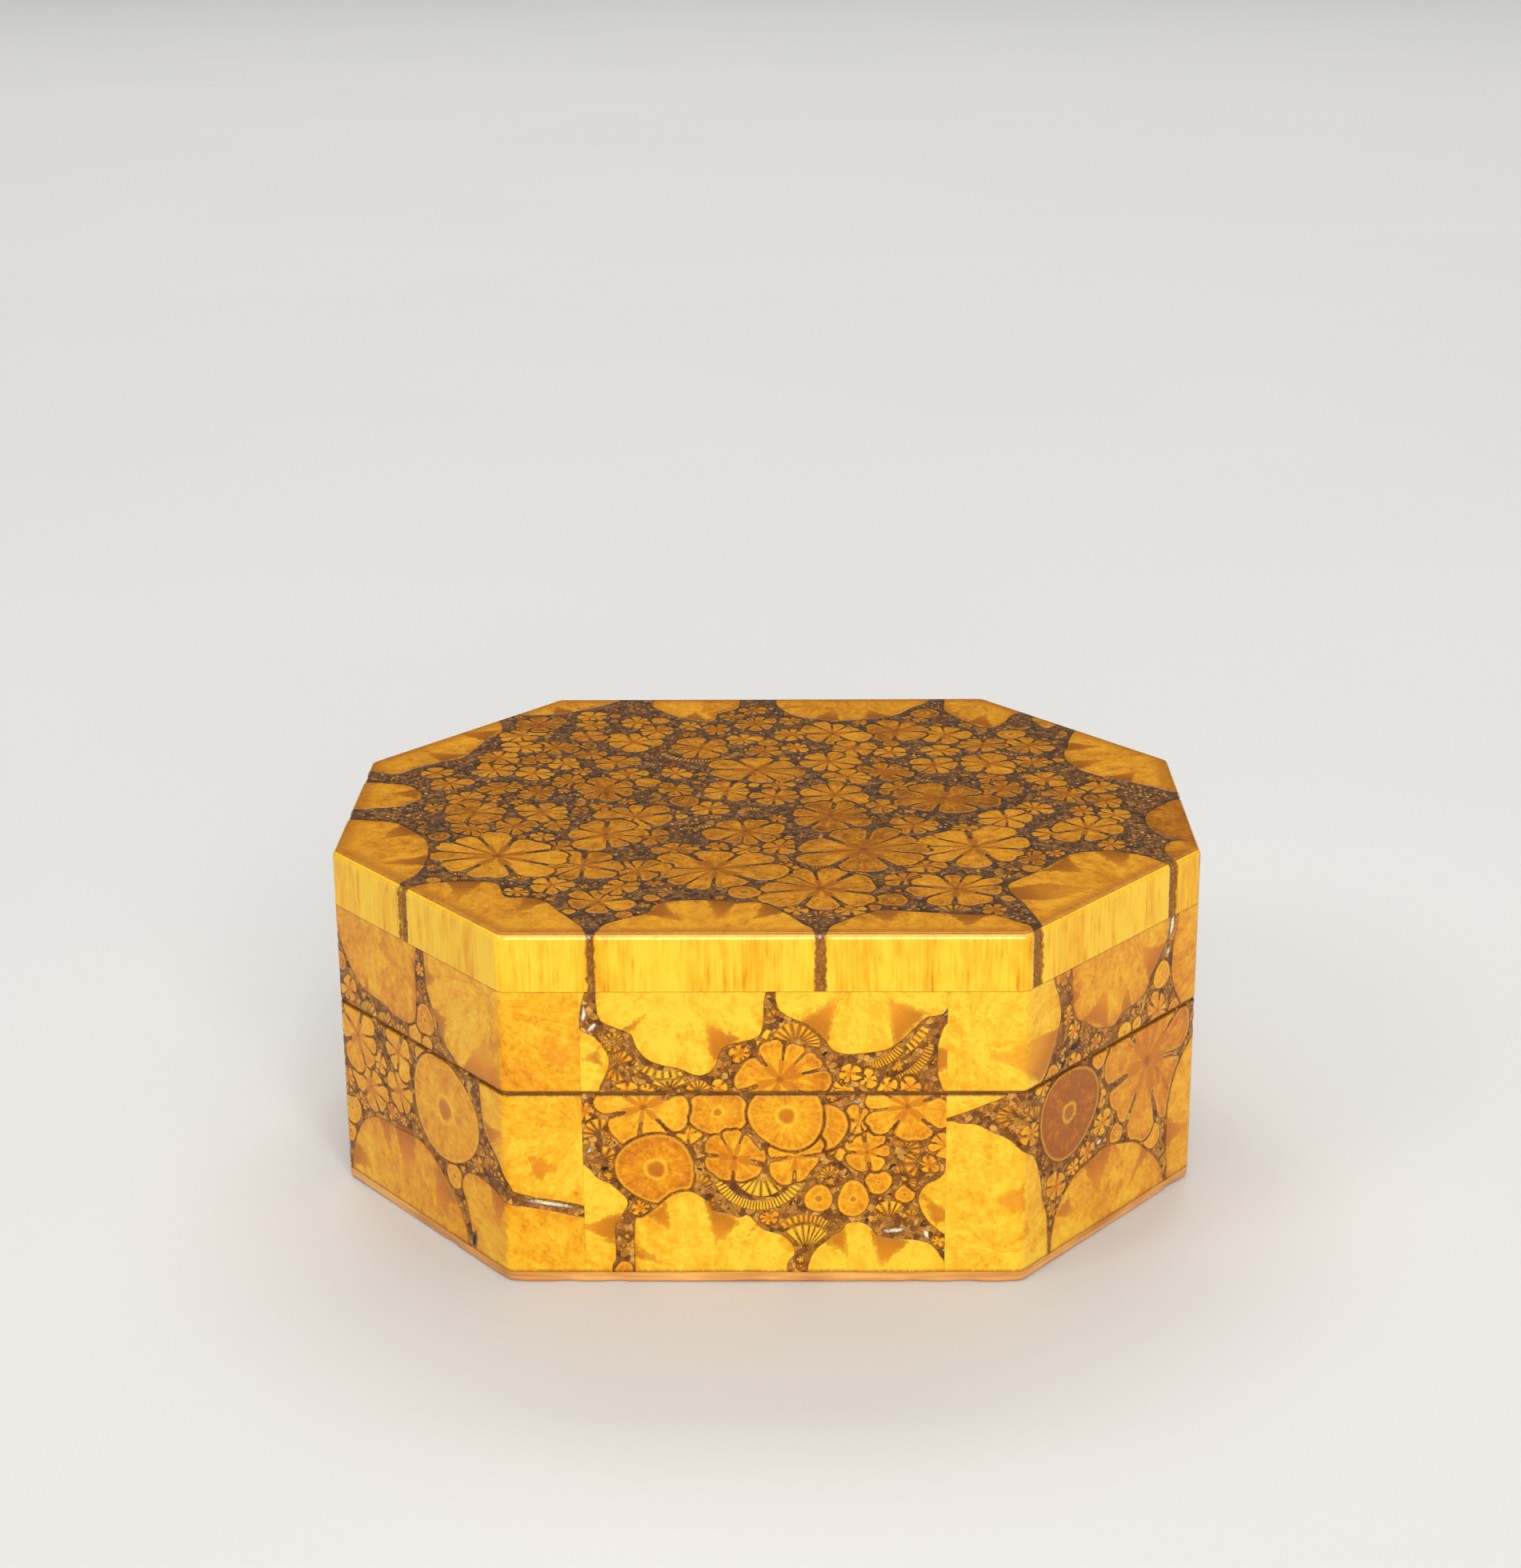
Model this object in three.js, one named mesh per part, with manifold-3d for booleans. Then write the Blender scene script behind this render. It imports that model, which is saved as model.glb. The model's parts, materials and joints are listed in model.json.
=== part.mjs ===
// An eight-sided wooden box with a lift-off lid. Its slabs are sawn across bundles of stems that were
// cast together in brown resin, so every face shows slices of stem. Each corner slab runs out to the
// straight faces beside it, and each straight slab is glued in between two corner slabs.
// Millimetres, +Z up. The origin is on the ground under the middle of the box, and the front faces -Y.
import * as THREE from 'three';
import { mergeVertices } from 'three/addons/utils/BufferGeometryUtils.js';
import Module from 'manifold-3d';

const wasm = await Module();
wasm.setup();

// Outside of the box
const boxWidth = 160; // over the left and right faces
const boxDepth = 136; // over the front and back faces
const frontFace = 90.8; // length of the front face between its two sharp corners
const sideFace = 52; // length of the left face between its two sharp corners
const baseHeight = 36.7; // from the ground to the seam
const lidHeight = 29.9; // from the seam to the top

// Slabs
const wallThickness = 10.5;
const topThickness = 10.5;
const bottomThickness = 2.1;

// Lip on the base that holds the lid in its place
const lipHeight = 3;
const lipThickness = 4.6;
const lidPlay = 0.4; // between the lip and the lid, all round
const lipHeadroom = 0.5; // between the top of the lip and the lid

// Joints
const glueLine = 0.3; // between two glued slabs
const seamGap = 0.3; // between the lid and the base it rests on

// Worn edges
const cornerRadius = 2.4; // upright outer edges
const topRound = 1.2; // edge of the top
const seamRound = 0.5; // edges on both sides of the seam
const footRound = 0.9; // lower edge of the bottom board
const leastRadius = 0.2; // an upright edge is never sharper than this
const arcSteps = 4; // facets in each rounded edge

// Heights that follow from the sizes
const seamHeight = baseHeight;
const boxHeight = baseHeight + lidHeight;
const topUnderside = boxHeight - topThickness;
const baseWallFoot = bottomThickness + glueLine;
const lidWallFoot = seamHeight + seamGap;
const lidWallHead = topUnderside - glueLine;
const lipTop = seamHeight + lipHeight;
const lipInset = wallThickness - lipThickness;
const reach = boxWidth + boxDepth; // longer than anything in the box, for the shapes that only cut

const woodMaterial = (name, color, roughness) => {
  const material = new THREE.MeshStandardMaterial({ color, roughness, metalness: 0 });
  material.name = name;
  return material;
};
const sliceWood = woodMaterial('stem slices', 0xdba447, 0.3);
const topWood = woodMaterial('top slices', 0xa87532, 0.25);
const bottomWood = woodMaterial('plain board', 0xc98a52, 0.45);

// The eight faces in turn from the front, anticlockwise from above. Each is a straight line in plan:
// its outward normal and its distance from the middle.
const frontCorner = new THREE.Vector2(frontFace / 2, -boxDepth / 2);
const sideCorner = new THREE.Vector2(boxWidth / 2, -sideFace / 2);
const along = sideCorner.clone().sub(frontCorner).normalize();
const slant = new THREE.Vector2(along.y, -along.x);
const slantDistance = slant.dot(frontCorner);
const face = (name, isCorner, x, y, distance) => ({ name, isCorner, normal: new THREE.Vector2(x, y), distance });
const faces = [
  face('front', false, 0, -1, boxDepth / 2),
  face('front_right', true, slant.x, slant.y, slantDistance),
  face('right', false, 1, 0, boxWidth / 2),
  face('back_right', true, slant.x, -slant.y, slantDistance),
  face('back', false, 0, 1, boxDepth / 2),
  face('back_left', true, -slant.x, -slant.y, slantDistance),
  face('left', false, -1, 0, boxWidth / 2),
  face('front_left', true, -slant.x, slant.y, slantDistance),
];

// Where two neighbouring faces meet when both are moved inwards by an inset.
function cornerPoint(first, second, inset) {
  const a = first.distance - inset;
  const b = second.distance - inset;
  const cross = first.normal.x * second.normal.y - first.normal.y * second.normal.x;
  const x = (a * second.normal.y - b * first.normal.y) / cross;
  const y = (b * first.normal.x - a * second.normal.x) / cross;
  return new THREE.Vector2(x, y);
}

// The outline of the box at an inset, with sharp corners.
function sharpOutline(inset) {
  return faces.map((here, i) => cornerPoint(here, faces[(i + 1) % faces.length], inset));
}

// The same outline with its corners as arcs, which keep their centres as the outline moves inwards.
function roundedOutline(inset) {
  const radius = Math.max(cornerRadius - inset, leastRadius);
  const points = [];
  faces.forEach((here, i) => {
    const next = faces[(i + 1) % faces.length];
    const centre = cornerPoint(here, next, inset + radius);
    const from = here.normal.angle();
    const turn = Math.acos(here.normal.dot(next.normal));
    for (let step = 0; step <= arcSteps; step += 1) {
      const angle = from + (turn * step) / arcSteps;
      points.push(new THREE.Vector2(Math.cos(angle), Math.sin(angle)).multiplyScalar(radius).add(centre));
    }
  });
  return points;
}

// A closed body through outlines stacked one above the other, all with the same number of points.
function stack(levels) {
  const count = levels[0].points.length;
  const positions = levels.flatMap(({ z, points }) => points.flatMap((point) => [point.x, point.y, z]));
  const index = [];
  for (let level = 0; level < levels.length - 1; level += 1) {
    for (let i = 0; i < count; i += 1) {
      const a = level * count + i;
      const b = level * count + ((i + 1) % count);
      index.push(a, b, b + count, a, b + count, a + count);
    }
  }
  const last = (levels.length - 1) * count;
  for (let i = 1; i < count - 1; i += 1) {
    index.push(0, i + 1, i, last, last + i, last + i + 1);
  }
  const geometry = new THREE.BufferGeometry();
  geometry.setAttribute('position', new THREE.Float32BufferAttribute(positions, 3));
  geometry.setIndex(index);
  return geometry;
}

// The outside of the box between two heights, with a rounded edge below and above where a radius is given.
function outsideBetween(low, high, lowRound, highRound) {
  const levels = [];
  const addLevel = (z, inset) => levels.push({ z, points: roundedOutline(inset) });
  if (lowRound > 0) {
    for (let step = 0; step < arcSteps; step += 1) {
      const angle = (Math.PI / 2) * (step / arcSteps);
      addLevel(low + lowRound * (1 - Math.cos(angle)), lowRound * (1 - Math.sin(angle)));
    }
  }
  addLevel(low + lowRound, 0);
  addLevel(high - highRound, 0);
  if (highRound > 0) {
    for (let step = 1; step <= arcSteps; step += 1) {
      const angle = (Math.PI / 2) * (step / arcSteps);
      addLevel(high - highRound * (1 - Math.sin(angle)), highRound * (1 - Math.cos(angle)));
    }
  }
  return stack(levels);
}

// A straight eight-sided prism at an inset.
function prismBetween(low, high, inset) {
  const points = sharpOutline(inset);
  return stack([{ z: low, points }, { z: high, points }]);
}

function solidFrom(geometry) {
  const bare = geometry.clone();
  bare.deleteAttribute('normal');
  bare.deleteAttribute('uv');
  const merged = mergeVertices(bare);
  const vertProperties = new Float32Array(merged.attributes.position.array);
  const triVerts = new Uint32Array(merged.index.array);
  return new wasm.Manifold(new wasm.Mesh({ numProp: 3, vertProperties, triVerts }));
}

function meshFrom(solid, name, material) {
  const { vertProperties, triVerts } = solid.getMesh();
  const geometry = new THREE.BufferGeometry();
  geometry.setAttribute('position', new THREE.BufferAttribute(new Float32Array(vertProperties), 3));
  geometry.setIndex(new THREE.BufferAttribute(new Uint32Array(triVerts), 1));
  const mesh = new THREE.Mesh(geometry, material);
  mesh.name = name;
  return mesh;
}

// A tall board that lies against the inside of a face and is as thick as asked, for sawing the walls.
function boardBehind({ normal, distance }, thickness) {
  const overhang = reach - distance; // runs out past the worn edges
  const board = new THREE.BoxGeometry(thickness + overhang, 2 * reach, 2 * reach);
  board.translate(distance - thickness + (thickness + overhang) / 2, 0, 0);
  board.rotateZ(normal.angle());
  return solidFrom(board);
}

const cornerFaces = faces.filter((one) => one.isCorner);
const straightFaces = faces.filter((one) => !one.isCorner);
const cornerBoards = cornerFaces.map((one) => boardBehind(one, wallThickness));
const cornerBoardsAndGlue = cornerFaces
  .map((one) => boardBehind(one, wallThickness + glueLine))
  .reduce((joined, board) => joined.add(board));

// Saws one ring of wall into its four corner slabs and four straight slabs.
function slabs(ring, wallPrefix, cornerPrefix) {
  const corners = cornerFaces.map((one, i) => {
    const slab = ring.intersect(cornerBoards[i]);
    return meshFrom(slab, cornerPrefix + one.name, sliceWood);
  });
  const rest = ring.subtract(cornerBoardsAndGlue);
  const straights = straightFaces.map((one) => {
    const slab = rest.intersect(boardBehind(one, wallThickness + glueLine));
    return meshFrom(slab, wallPrefix + one.name, sliceWood);
  });
  return [...straights, ...corners];
}

// Base walls: the outer part stops at the seam, and the inner part goes on up as the lip.
const baseCavity = solidFrom(prismBetween(-reach, reach, wallThickness));
const baseOutside = solidFrom(outsideBetween(baseWallFoot, seamHeight, 0, seamRound));
const lip = solidFrom(prismBetween(baseWallFoot, lipTop, lipInset));
const baseRing = baseOutside.add(lip).subtract(baseCavity);

// Lid walls: the inside is cut back at the foot to go round the lip.
const lidOutside = solidFrom(outsideBetween(lidWallFoot, lidWallHead, seamRound, 0));
const lidRebate = solidFrom(prismBetween(-reach, lipTop + lipHeadroom, lipInset - lidPlay));
const lidRing = lidOutside.subtract(baseCavity).subtract(lidRebate);

const bottomPanel = meshFrom(
  solidFrom(outsideBetween(0, bottomThickness, footRound, 0)),
  'bottom_panel',
  bottomWood,
);
const topPanel = meshFrom(
  solidFrom(outsideBetween(topUnderside, boxHeight, 0, topRound)),
  'lid_top_panel',
  topWood,
);

const base = new THREE.Group();
base.add(bottomPanel, ...slabs(baseRing, 'base_wall_', 'base_corner_'));

const lid = new THREE.Group();
lid.add(...slabs(lidRing, 'lid_wall_', 'lid_corner_'), topPanel);

const burlBox = new THREE.Group();
burlBox.add(base, lid);

export default burlBox;
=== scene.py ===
# %% [markdown]
# # An eight-sided box of stem slices
# The real box is made of slabs. Bundles of stems were cast together in brown resin, and each slab was
# sawn across the bundle, so its face shows every stem as a slice. We could paint such a pattern on flat
# boards, but then the resin would not lie lower than the wood. So we lay out the slices one by one, measure
# every point's distance to the nearest rim, and let both the mesh and the material read that distance.

# %% Load the frame
import json
import math
import bmesh
import bpy
import numpy as np
from mathutils import Matrix, Vector
from mathutils.geometry import delaunay_2d_cdt

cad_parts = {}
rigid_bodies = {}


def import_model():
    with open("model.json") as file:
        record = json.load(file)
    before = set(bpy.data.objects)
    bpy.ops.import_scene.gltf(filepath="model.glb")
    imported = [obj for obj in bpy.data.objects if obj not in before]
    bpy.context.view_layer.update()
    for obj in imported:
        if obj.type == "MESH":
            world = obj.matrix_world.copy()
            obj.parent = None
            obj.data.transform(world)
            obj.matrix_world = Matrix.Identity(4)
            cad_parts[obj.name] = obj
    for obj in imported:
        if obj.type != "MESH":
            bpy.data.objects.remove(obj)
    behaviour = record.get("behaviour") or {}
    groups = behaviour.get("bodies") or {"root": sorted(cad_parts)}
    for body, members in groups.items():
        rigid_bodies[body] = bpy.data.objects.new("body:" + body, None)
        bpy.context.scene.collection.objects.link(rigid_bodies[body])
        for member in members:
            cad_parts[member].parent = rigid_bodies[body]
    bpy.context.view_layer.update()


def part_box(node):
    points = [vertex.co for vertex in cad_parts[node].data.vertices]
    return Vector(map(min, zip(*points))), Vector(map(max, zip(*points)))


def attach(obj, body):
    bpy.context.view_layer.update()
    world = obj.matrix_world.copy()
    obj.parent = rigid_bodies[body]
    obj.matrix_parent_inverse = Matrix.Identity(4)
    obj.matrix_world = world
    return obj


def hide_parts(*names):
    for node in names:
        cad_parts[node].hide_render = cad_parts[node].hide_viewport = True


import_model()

# %% [markdown]
# ## Camera
# The camera stands where it stood for the picture: about 0.6 m away, looking down at 19 degrees.
# Its focal length is given in pixels of the picture, because that is how it was solved. The axes are
# built from yaw, pitch and roll one after the other, which is easier to read than one rotation.

# %% Camera
MM = 0.001  # everything below is worked out in millimetres, and meshes are made in metres

picture_width = 1901
focal_pixels = 3661
camera_place = Vector((7.76, -531.84, 252.64))
yaw, pitch, roll = 0.017, 0.33, -0.008
sensor_width = 36


def camera_axes():
    """The camera's right, up and backward directions."""
    forward = Vector((-math.sin(yaw) * math.cos(pitch), math.cos(yaw) * math.cos(pitch), -math.sin(pitch)))
    level = Vector((math.cos(yaw), math.sin(yaw), 0))
    upright = level.cross(forward)
    right = level * math.cos(roll) + upright * math.sin(roll)
    up = upright * math.cos(roll) - level * math.sin(roll)
    return right, up, -forward


lens = bpy.data.cameras.new("camera")
lens.sensor_fit = "HORIZONTAL"
lens.sensor_width = sensor_width
lens.lens = sensor_width * focal_pixels / picture_width
lens.clip_start = 0.01
camera = bpy.data.objects.new("camera", lens)
right, up, back = camera_axes()
camera.matrix_world = Matrix.Translation(camera_place * MM) @ Matrix((right, up, back)).transposed().to_4x4()
bpy.context.collection.objects.link(camera)
bpy.context.scene.camera = camera
print("focal length", round(lens.lens, 1), "mm")

# %% [markdown]
# ## Maths on sockets
# A finish is a graph of nodes, but a formula is easier to read as a formula. So one small class wraps a
# socket and overloads the operators: `1 - mask` adds a Subtract node by itself. A second class holds one
# material and adds any other node by its type, its settings and the values or links of its sockets.


# %% Socket maths
class Number:
    """A socket that holds a number and can be used in sums."""

    def __init__(self, finish, socket):
        self.finish = finish
        self.socket = socket

    def maths(self, operation, *others):
        return self.finish.maths(operation, self, *others)

    def __add__(self, other):
        return self.maths("ADD", other)

    __radd__ = __add__

    def __sub__(self, other):
        return self.maths("SUBTRACT", other)

    def __rsub__(self, other):
        return self.finish.maths("SUBTRACT", other, self)

    def __mul__(self, other):
        return self.maths("MULTIPLY", other)

    __rmul__ = __mul__

    def __truediv__(self, other):
        return self.maths("DIVIDE", other)

    def __pow__(self, other):
        return self.maths("POWER", other)

    def __gt__(self, other):
        return self.maths("GREATER_THAN", other)

    def __abs__(self):
        return self.maths("ABSOLUTE")

    def between(self, low, high, out_low=0.0, out_high=1.0):
        """Rises smoothly from out_low to out_high as the number goes from low to high."""
        sockets = {0: self, 1: low, 2: high, 3: out_low, 4: out_high}
        return self.finish.node("ShaderNodeMapRange", {"interpolation_type": "SMOOTHSTEP"}, sockets)


print("sockets can be added, multiplied and compared")

# %% [markdown]
# ## Finishes
# On the real box every surface is wood, resin or bark under varnish. Each could be a material with its
# nodes placed one by one, but then the same steps would be written many times. So one class adds the
# nodes, and its last method ends every finish in the same way.

# %% Finishes
coat_roughness = 0.12  # how much the varnish blurs what it mirrors


class Finish:
    """One material and the nodes in it."""

    def __init__(self, name):
        self.material = bpy.data.materials.new(name)
        self.material.use_nodes = True
        self.tree = self.material.node_tree
        self.tree.nodes.clear()

    def node(self, kind, settings=None, sockets=None, out=0):
        """Adds a node. Settings come first, then the values or links of its sockets, by name or number."""
        made = self.tree.nodes.new(kind)
        for name, value in (settings or {}).items():
            if name == "stops":
                self.fill_ramp(made.color_ramp, value)
            else:
                setattr(made, name, value)
        for name, value in (sockets or {}).items():
            socket = made.inputs[name]
            if isinstance(value, Number):
                self.tree.links.new(value.socket, socket)
            else:
                socket.default_value = value
        return Number(self, made.outputs[out]) if made.outputs else None

    def fill_ramp(self, ramp, stops):
        while len(ramp.elements) < len(stops):
            ramp.elements.new(0.5)
        for element, (place, colour) in zip(ramp.elements, stops):
            element.position = place
            element.color = colour

    def maths(self, operation, *values):
        return self.node("ShaderNodeMath", {"operation": operation}, dict(enumerate(values)))

    def mix(self, share, first, second):
        """Goes from the first colour to the second as share goes from 0 to 1."""
        settings = {"data_type": "RGBA", "clamp_factor": True}
        return self.node("ShaderNodeMix", settings, {0: share, 6: first, 7: second}, 2)

    def shade(self, colour, amount):
        """The colour made darker or lighter by a number round 1."""
        grey = self.node("ShaderNodeCombineXYZ", {}, {0: amount, 1: amount, 2: amount})
        settings = {"data_type": "RGBA", "blend_type": "MULTIPLY"}
        return self.node("ShaderNodeMix", settings, {0: 1.0, 6: colour, 7: grey}, 2)

    def ramp(self, number, stops):
        return self.node("ShaderNodeValToRGB", {"stops": stops}, {0: number})

    def attribute(self, name, out="Vector"):
        return self.node("ShaderNodeAttribute", {"attribute_name": name}, {}, out)

    def parts(self, vector):
        """The three numbers of a vector."""
        made = self.tree.nodes.new("ShaderNodeSeparateXYZ")
        self.tree.links.new(vector.socket, made.inputs[0])
        return [Number(self, socket) for socket in made.outputs]

    def place(self, scale):
        """The point on the object in millimetres, times a scale for each direction."""
        here = self.node("ShaderNodeTexCoord", {}, {}, "Object")
        factor = tuple(one / MM for one in scale)
        return self.node("ShaderNodeVectorMath", {"operation": "MULTIPLY"}, {0: here, 1: factor})

    def noise(self, where, scale=1.0, detail=2.0, rough=0.5):
        sockets = {"Vector": where, "Scale": scale, "Detail": detail, "Roughness": rough}
        return self.node("ShaderNodeTexNoise", {}, sockets)

    def varnish(self, colour, roughness, height, bump_distance, coat=0.06, shine=0.2):
        """A varnished surface from a colour, a roughness and a height in millimetres."""
        sockets = {"Height": height, "Distance": bump_distance * MM, "Strength": 1.0}
        normal = self.node("ShaderNodeBump", {}, sockets)
        sockets = {"Base Color": colour, "Roughness": roughness, "Normal": normal, "Coat Weight": coat}
        sockets.update({"Coat Roughness": coat_roughness, "Specular IOR Level": shine})
        surface = self.node("ShaderNodeBsdfPrincipled", {}, sockets)
        self.node("ShaderNodeOutputMaterial", {}, {0: surface})
        return self.material


print("every finish ends in a varnish whose own roughness is", coat_roughness)

# %% [markdown]
# ## Colours
# A screen's middle level stands for much less than half of the light. Blender works with amounts of light,
# so every colour is turned from the one into the other before it is used. Then the numbers below can be
# read as one reads them in any drawing program.


# %% Colours
def light_of(level):
    """A screen's level, 0 to 255, as the amount of light it stands for."""
    share = level / 255
    return share / 12.92 if share <= 0.04045 else ((share + 0.055) / 1.055) ** 2.4


def paint(red, green, blue):
    """A colour given as on a screen, as the linear colour that Blender works in."""
    return light_of(red), light_of(green), light_of(blue), 1.0


print("a golden slice is", [round(c, 3) for c in paint(250, 200, 85)])

# %% [markdown]
# ## Floor and light
# A plain pale floor and soft light from large lamps show a glossy thing best: a lamp's size decides how
# soft its shadow is and how wide its highlight. The main lamp stands in front, far off and low, so that
# it lights the front face full and the top only at a slant. A small one above it draws the thin bright
# line along the top's worn edge. One on the left lights that side, and one high behind lights the top.

# %% Floor and lights
floor_size = 12.0  # metres
backdrop_paint = paint(212, 212, 210)
lamp_colour = (1.0, 0.98, 0.95)
lamp_target = Vector((0, 0, 0.03))  # the middle of the box, in metres


def make_floor():
    """A plain pale sheet with faint patches."""
    finish = Finish("floor")
    patches = finish.noise(finish.place((0.004, 0.004, 0.004)), 1.0, 3.0)
    colour = finish.mix(patches, paint(214, 212, 208), paint(208, 207, 204))
    mesh = bpy.data.meshes.new("floor")
    half = floor_size / 2
    corners = [(-half, -half, 0), (half, -half, 0), (half, half, 0), (-half, half, 0)]
    mesh.from_pydata(corners, [], [(0, 1, 2, 3)])
    mesh.materials.append(finish.varnish(colour, 0.6, patches, 0.01, coat=0.0))
    floor = bpy.data.objects.new("floor", mesh)
    bpy.context.collection.objects.link(floor)


def add_lamp(name, place, wide, high, watts):
    """A rectangular lamp in metres that faces the middle of the box."""
    lamp = bpy.data.lights.new(name, "AREA")
    lamp.shape = "RECTANGLE"
    lamp.size = wide
    lamp.size_y = high
    lamp.energy = watts
    lamp.color = lamp_colour
    made = bpy.data.objects.new(name, lamp)
    made.location = place
    aim = lamp_target - Vector(place)
    made.rotation_euler = aim.to_track_quat("-Z", "Y").to_euler()
    bpy.context.collection.objects.link(made)


make_floor()
add_lamp("front lamp", (0.5, -2.8, 1.3), 2.0, 1.6, 78)
add_lamp("small lamp", (0.3, -0.8, 1.35), 0.16, 0.16, 1.6)
add_lamp("left lamp", (-2.8, -1.8, 2.6), 1.2, 1.2, 24)
add_lamp("back lamp", (0.0, 2.6, 3.0), 3.2, 1.2, 60)
print("floor and", len(bpy.data.lights), "lamps")

# %% [markdown]
# ## Light of the room
# The room's own light fills the shadows that the lamps leave. A picture of a room could be wrapped round
# the scene, but a glow that rises with height needs only four numbers. The glossy top mirrors the low part
# of the room, so that part is kept dim.

# %% Light of the room
sky_colour = (0.94, 0.97, 1.0, 1.0)
sky_from, sky_to = 0.4, 0.95  # the sine of the height at which the glow starts, and where it is full
sky_low, sky_high = 0.05, 1.1


def light_room():
    """The room glows from above and is dim near the ground, so that the glossy top isn't washed out.

    Past the floor's edge the camera itself sees a plain pale backdrop.
    """
    world = bpy.data.worlds.new("room")
    world.use_nodes = True
    tree = world.node_tree
    background = tree.nodes["Background"]
    background.inputs["Color"].default_value = sky_colour
    direction = tree.nodes.new("ShaderNodeTexCoord")
    split = tree.nodes.new("ShaderNodeSeparateXYZ")
    rise = tree.nodes.new("ShaderNodeMapRange")
    rise.interpolation_type = "SMOOTHSTEP"
    for socket, value in zip(list(rise.inputs)[1:5], (sky_from, sky_to, sky_low, sky_high)):
        socket.default_value = value
    tree.links.new(direction.outputs["Generated"], split.inputs[0])
    tree.links.new(split.outputs["Z"], rise.inputs[0])
    tree.links.new(rise.outputs[0], background.inputs["Strength"])
    seen = tree.nodes.new("ShaderNodeBackground")
    seen.inputs["Color"].default_value = backdrop_paint
    ray = tree.nodes.new("ShaderNodeLightPath")
    choice = tree.nodes.new("ShaderNodeMixShader")
    tree.links.new(ray.outputs["Is Camera Ray"], choice.inputs[0])
    tree.links.new(background.outputs[0], choice.inputs[1])
    tree.links.new(seen.outputs[0], choice.inputs[2])
    tree.links.new(choice.outputs[0], tree.nodes["World Output"].inputs["Surface"])
    bpy.context.scene.world = world


light_room()
bpy.context.scene.view_settings.view_transform = "Standard"
print("the room glows up to", sky_high)

# %% [markdown]
# ## The slabs' plan
# Seen from above the box is an octagon. A slanting slab runs through at each corner and is sawn off flush
# with the two straight faces beside it, and the straight slabs stand between the slanting ones. All of
# this follows from eight lines in plan, so we keep the lines and work out where they cross at any depth.

# %% Lines in plan
front_face = 90.8  # between the front face's two sharp corners
side_face = 52.0
base_seam = 36.7  # the base's upper edge
seam_gap = 0.3
seam_middle = base_seam + seam_gap / 2
corner_radius = 2.4
lid_box = [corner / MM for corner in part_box("lid_top_panel")]
wall_box = [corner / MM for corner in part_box("base_wall_front")]
lid_wall_box = [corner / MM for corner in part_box("lid_wall_front")]
board_box = [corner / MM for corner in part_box("bottom_panel")]
half_width = lid_box[1].x
half_depth = lid_box[1].y
wall = wall_box[1].y - wall_box[0].y
hairline = 0.03  # the glue lines are nearly closed, as on the real box
print("half width", round(half_width, 2), "half depth", round(half_depth, 2), "wall", round(wall, 2))


class Face:
    """One of the eight outer faces: its direction and its distance from the middle."""

    def __init__(self, name, x, y, distance):
        self.name = name
        self.out = np.array((x, y))
        self.along = np.array((-y, x))
        self.distance = distance
        self.slanting = "_" in name


slant = np.array((half_depth - side_face / 2, half_width - front_face / 2))
slant = slant / np.linalg.norm(slant)
slant_distance = slant @ (front_face / 2, half_depth)
faces = [
    Face("front", 0, -1, half_depth),
    Face("front_right", slant[0], -slant[1], slant_distance),
    Face("right", 1, 0, half_width),
    Face("back_right", slant[0], slant[1], slant_distance),
    Face("back", 0, 1, half_depth),
    Face("back_left", -slant[0], slant[1], slant_distance),
    Face("left", -1, 0, half_width),
    Face("front_left", -slant[0], -slant[1], slant_distance),
]
chamfer_half = np.linalg.norm((half_width - front_face / 2, half_depth - side_face / 2)) / 2


def meeting(first, first_inset, second, second_inset):
    """Where two faces meet when each is moved inwards by its inset."""
    lines = np.array((first.out, second.out))
    return np.linalg.solve(lines, (first.distance - first_inset, second.distance - second_inset))


print("the slanting faces are", round(2 * chamfer_half, 1), "mm long")

# %% [markdown]
# ## Stations round the outside
# To sweep a wall along its plan we need the same stations at every height and every depth. A station is
# either a share of a straight stretch or a share of the turn at a rounded corner. Because a station is a
# share and not a point, the sweep stays even when the outline moves inwards for a rounded edge.

# %% Stations
corner_steps = 6
least_radius = 0.4


def corner_turn(first, second):
    """The angle between two faces that meet."""
    return math.acos(first.out @ second.out)


def stations_between(ends, bends, spacing):
    """Stations from one end point to the next: ends and bends are functions of the inset."""
    stations = []
    marks = [ends[0], *bends, ends[1]]
    for here, there in zip(marks, marks[1:]):
        start, finish = here(0)[-1], there(0)[0]
        count = max(2, math.ceil(np.linalg.norm(finish - start) / spacing))
        for step in range(count + 1):
            stations.append(("straight", here, there, step / count))
        if there is not marks[-1]:
            for step in range(1, corner_steps):
                stations.append(("turn", there, there, step / corner_steps))
    return stations


def end_point(first, second, second_inset):
    """A sharp end: the face slides inwards along the saw cut that ends it."""
    return lambda inset: [meeting(first, inset, second, second_inset)] * 2


def rounded_corner(first, second):
    """The two tangent points of a rounded corner, and its centre and radius between them."""

    def at(inset):
        radius = max(corner_radius - inset, least_radius)
        centre = meeting(first, inset + radius, second, inset + radius)
        return [centre + radius * first.out, (centre, radius, first, second), centre + radius * second.out]

    return at


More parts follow.
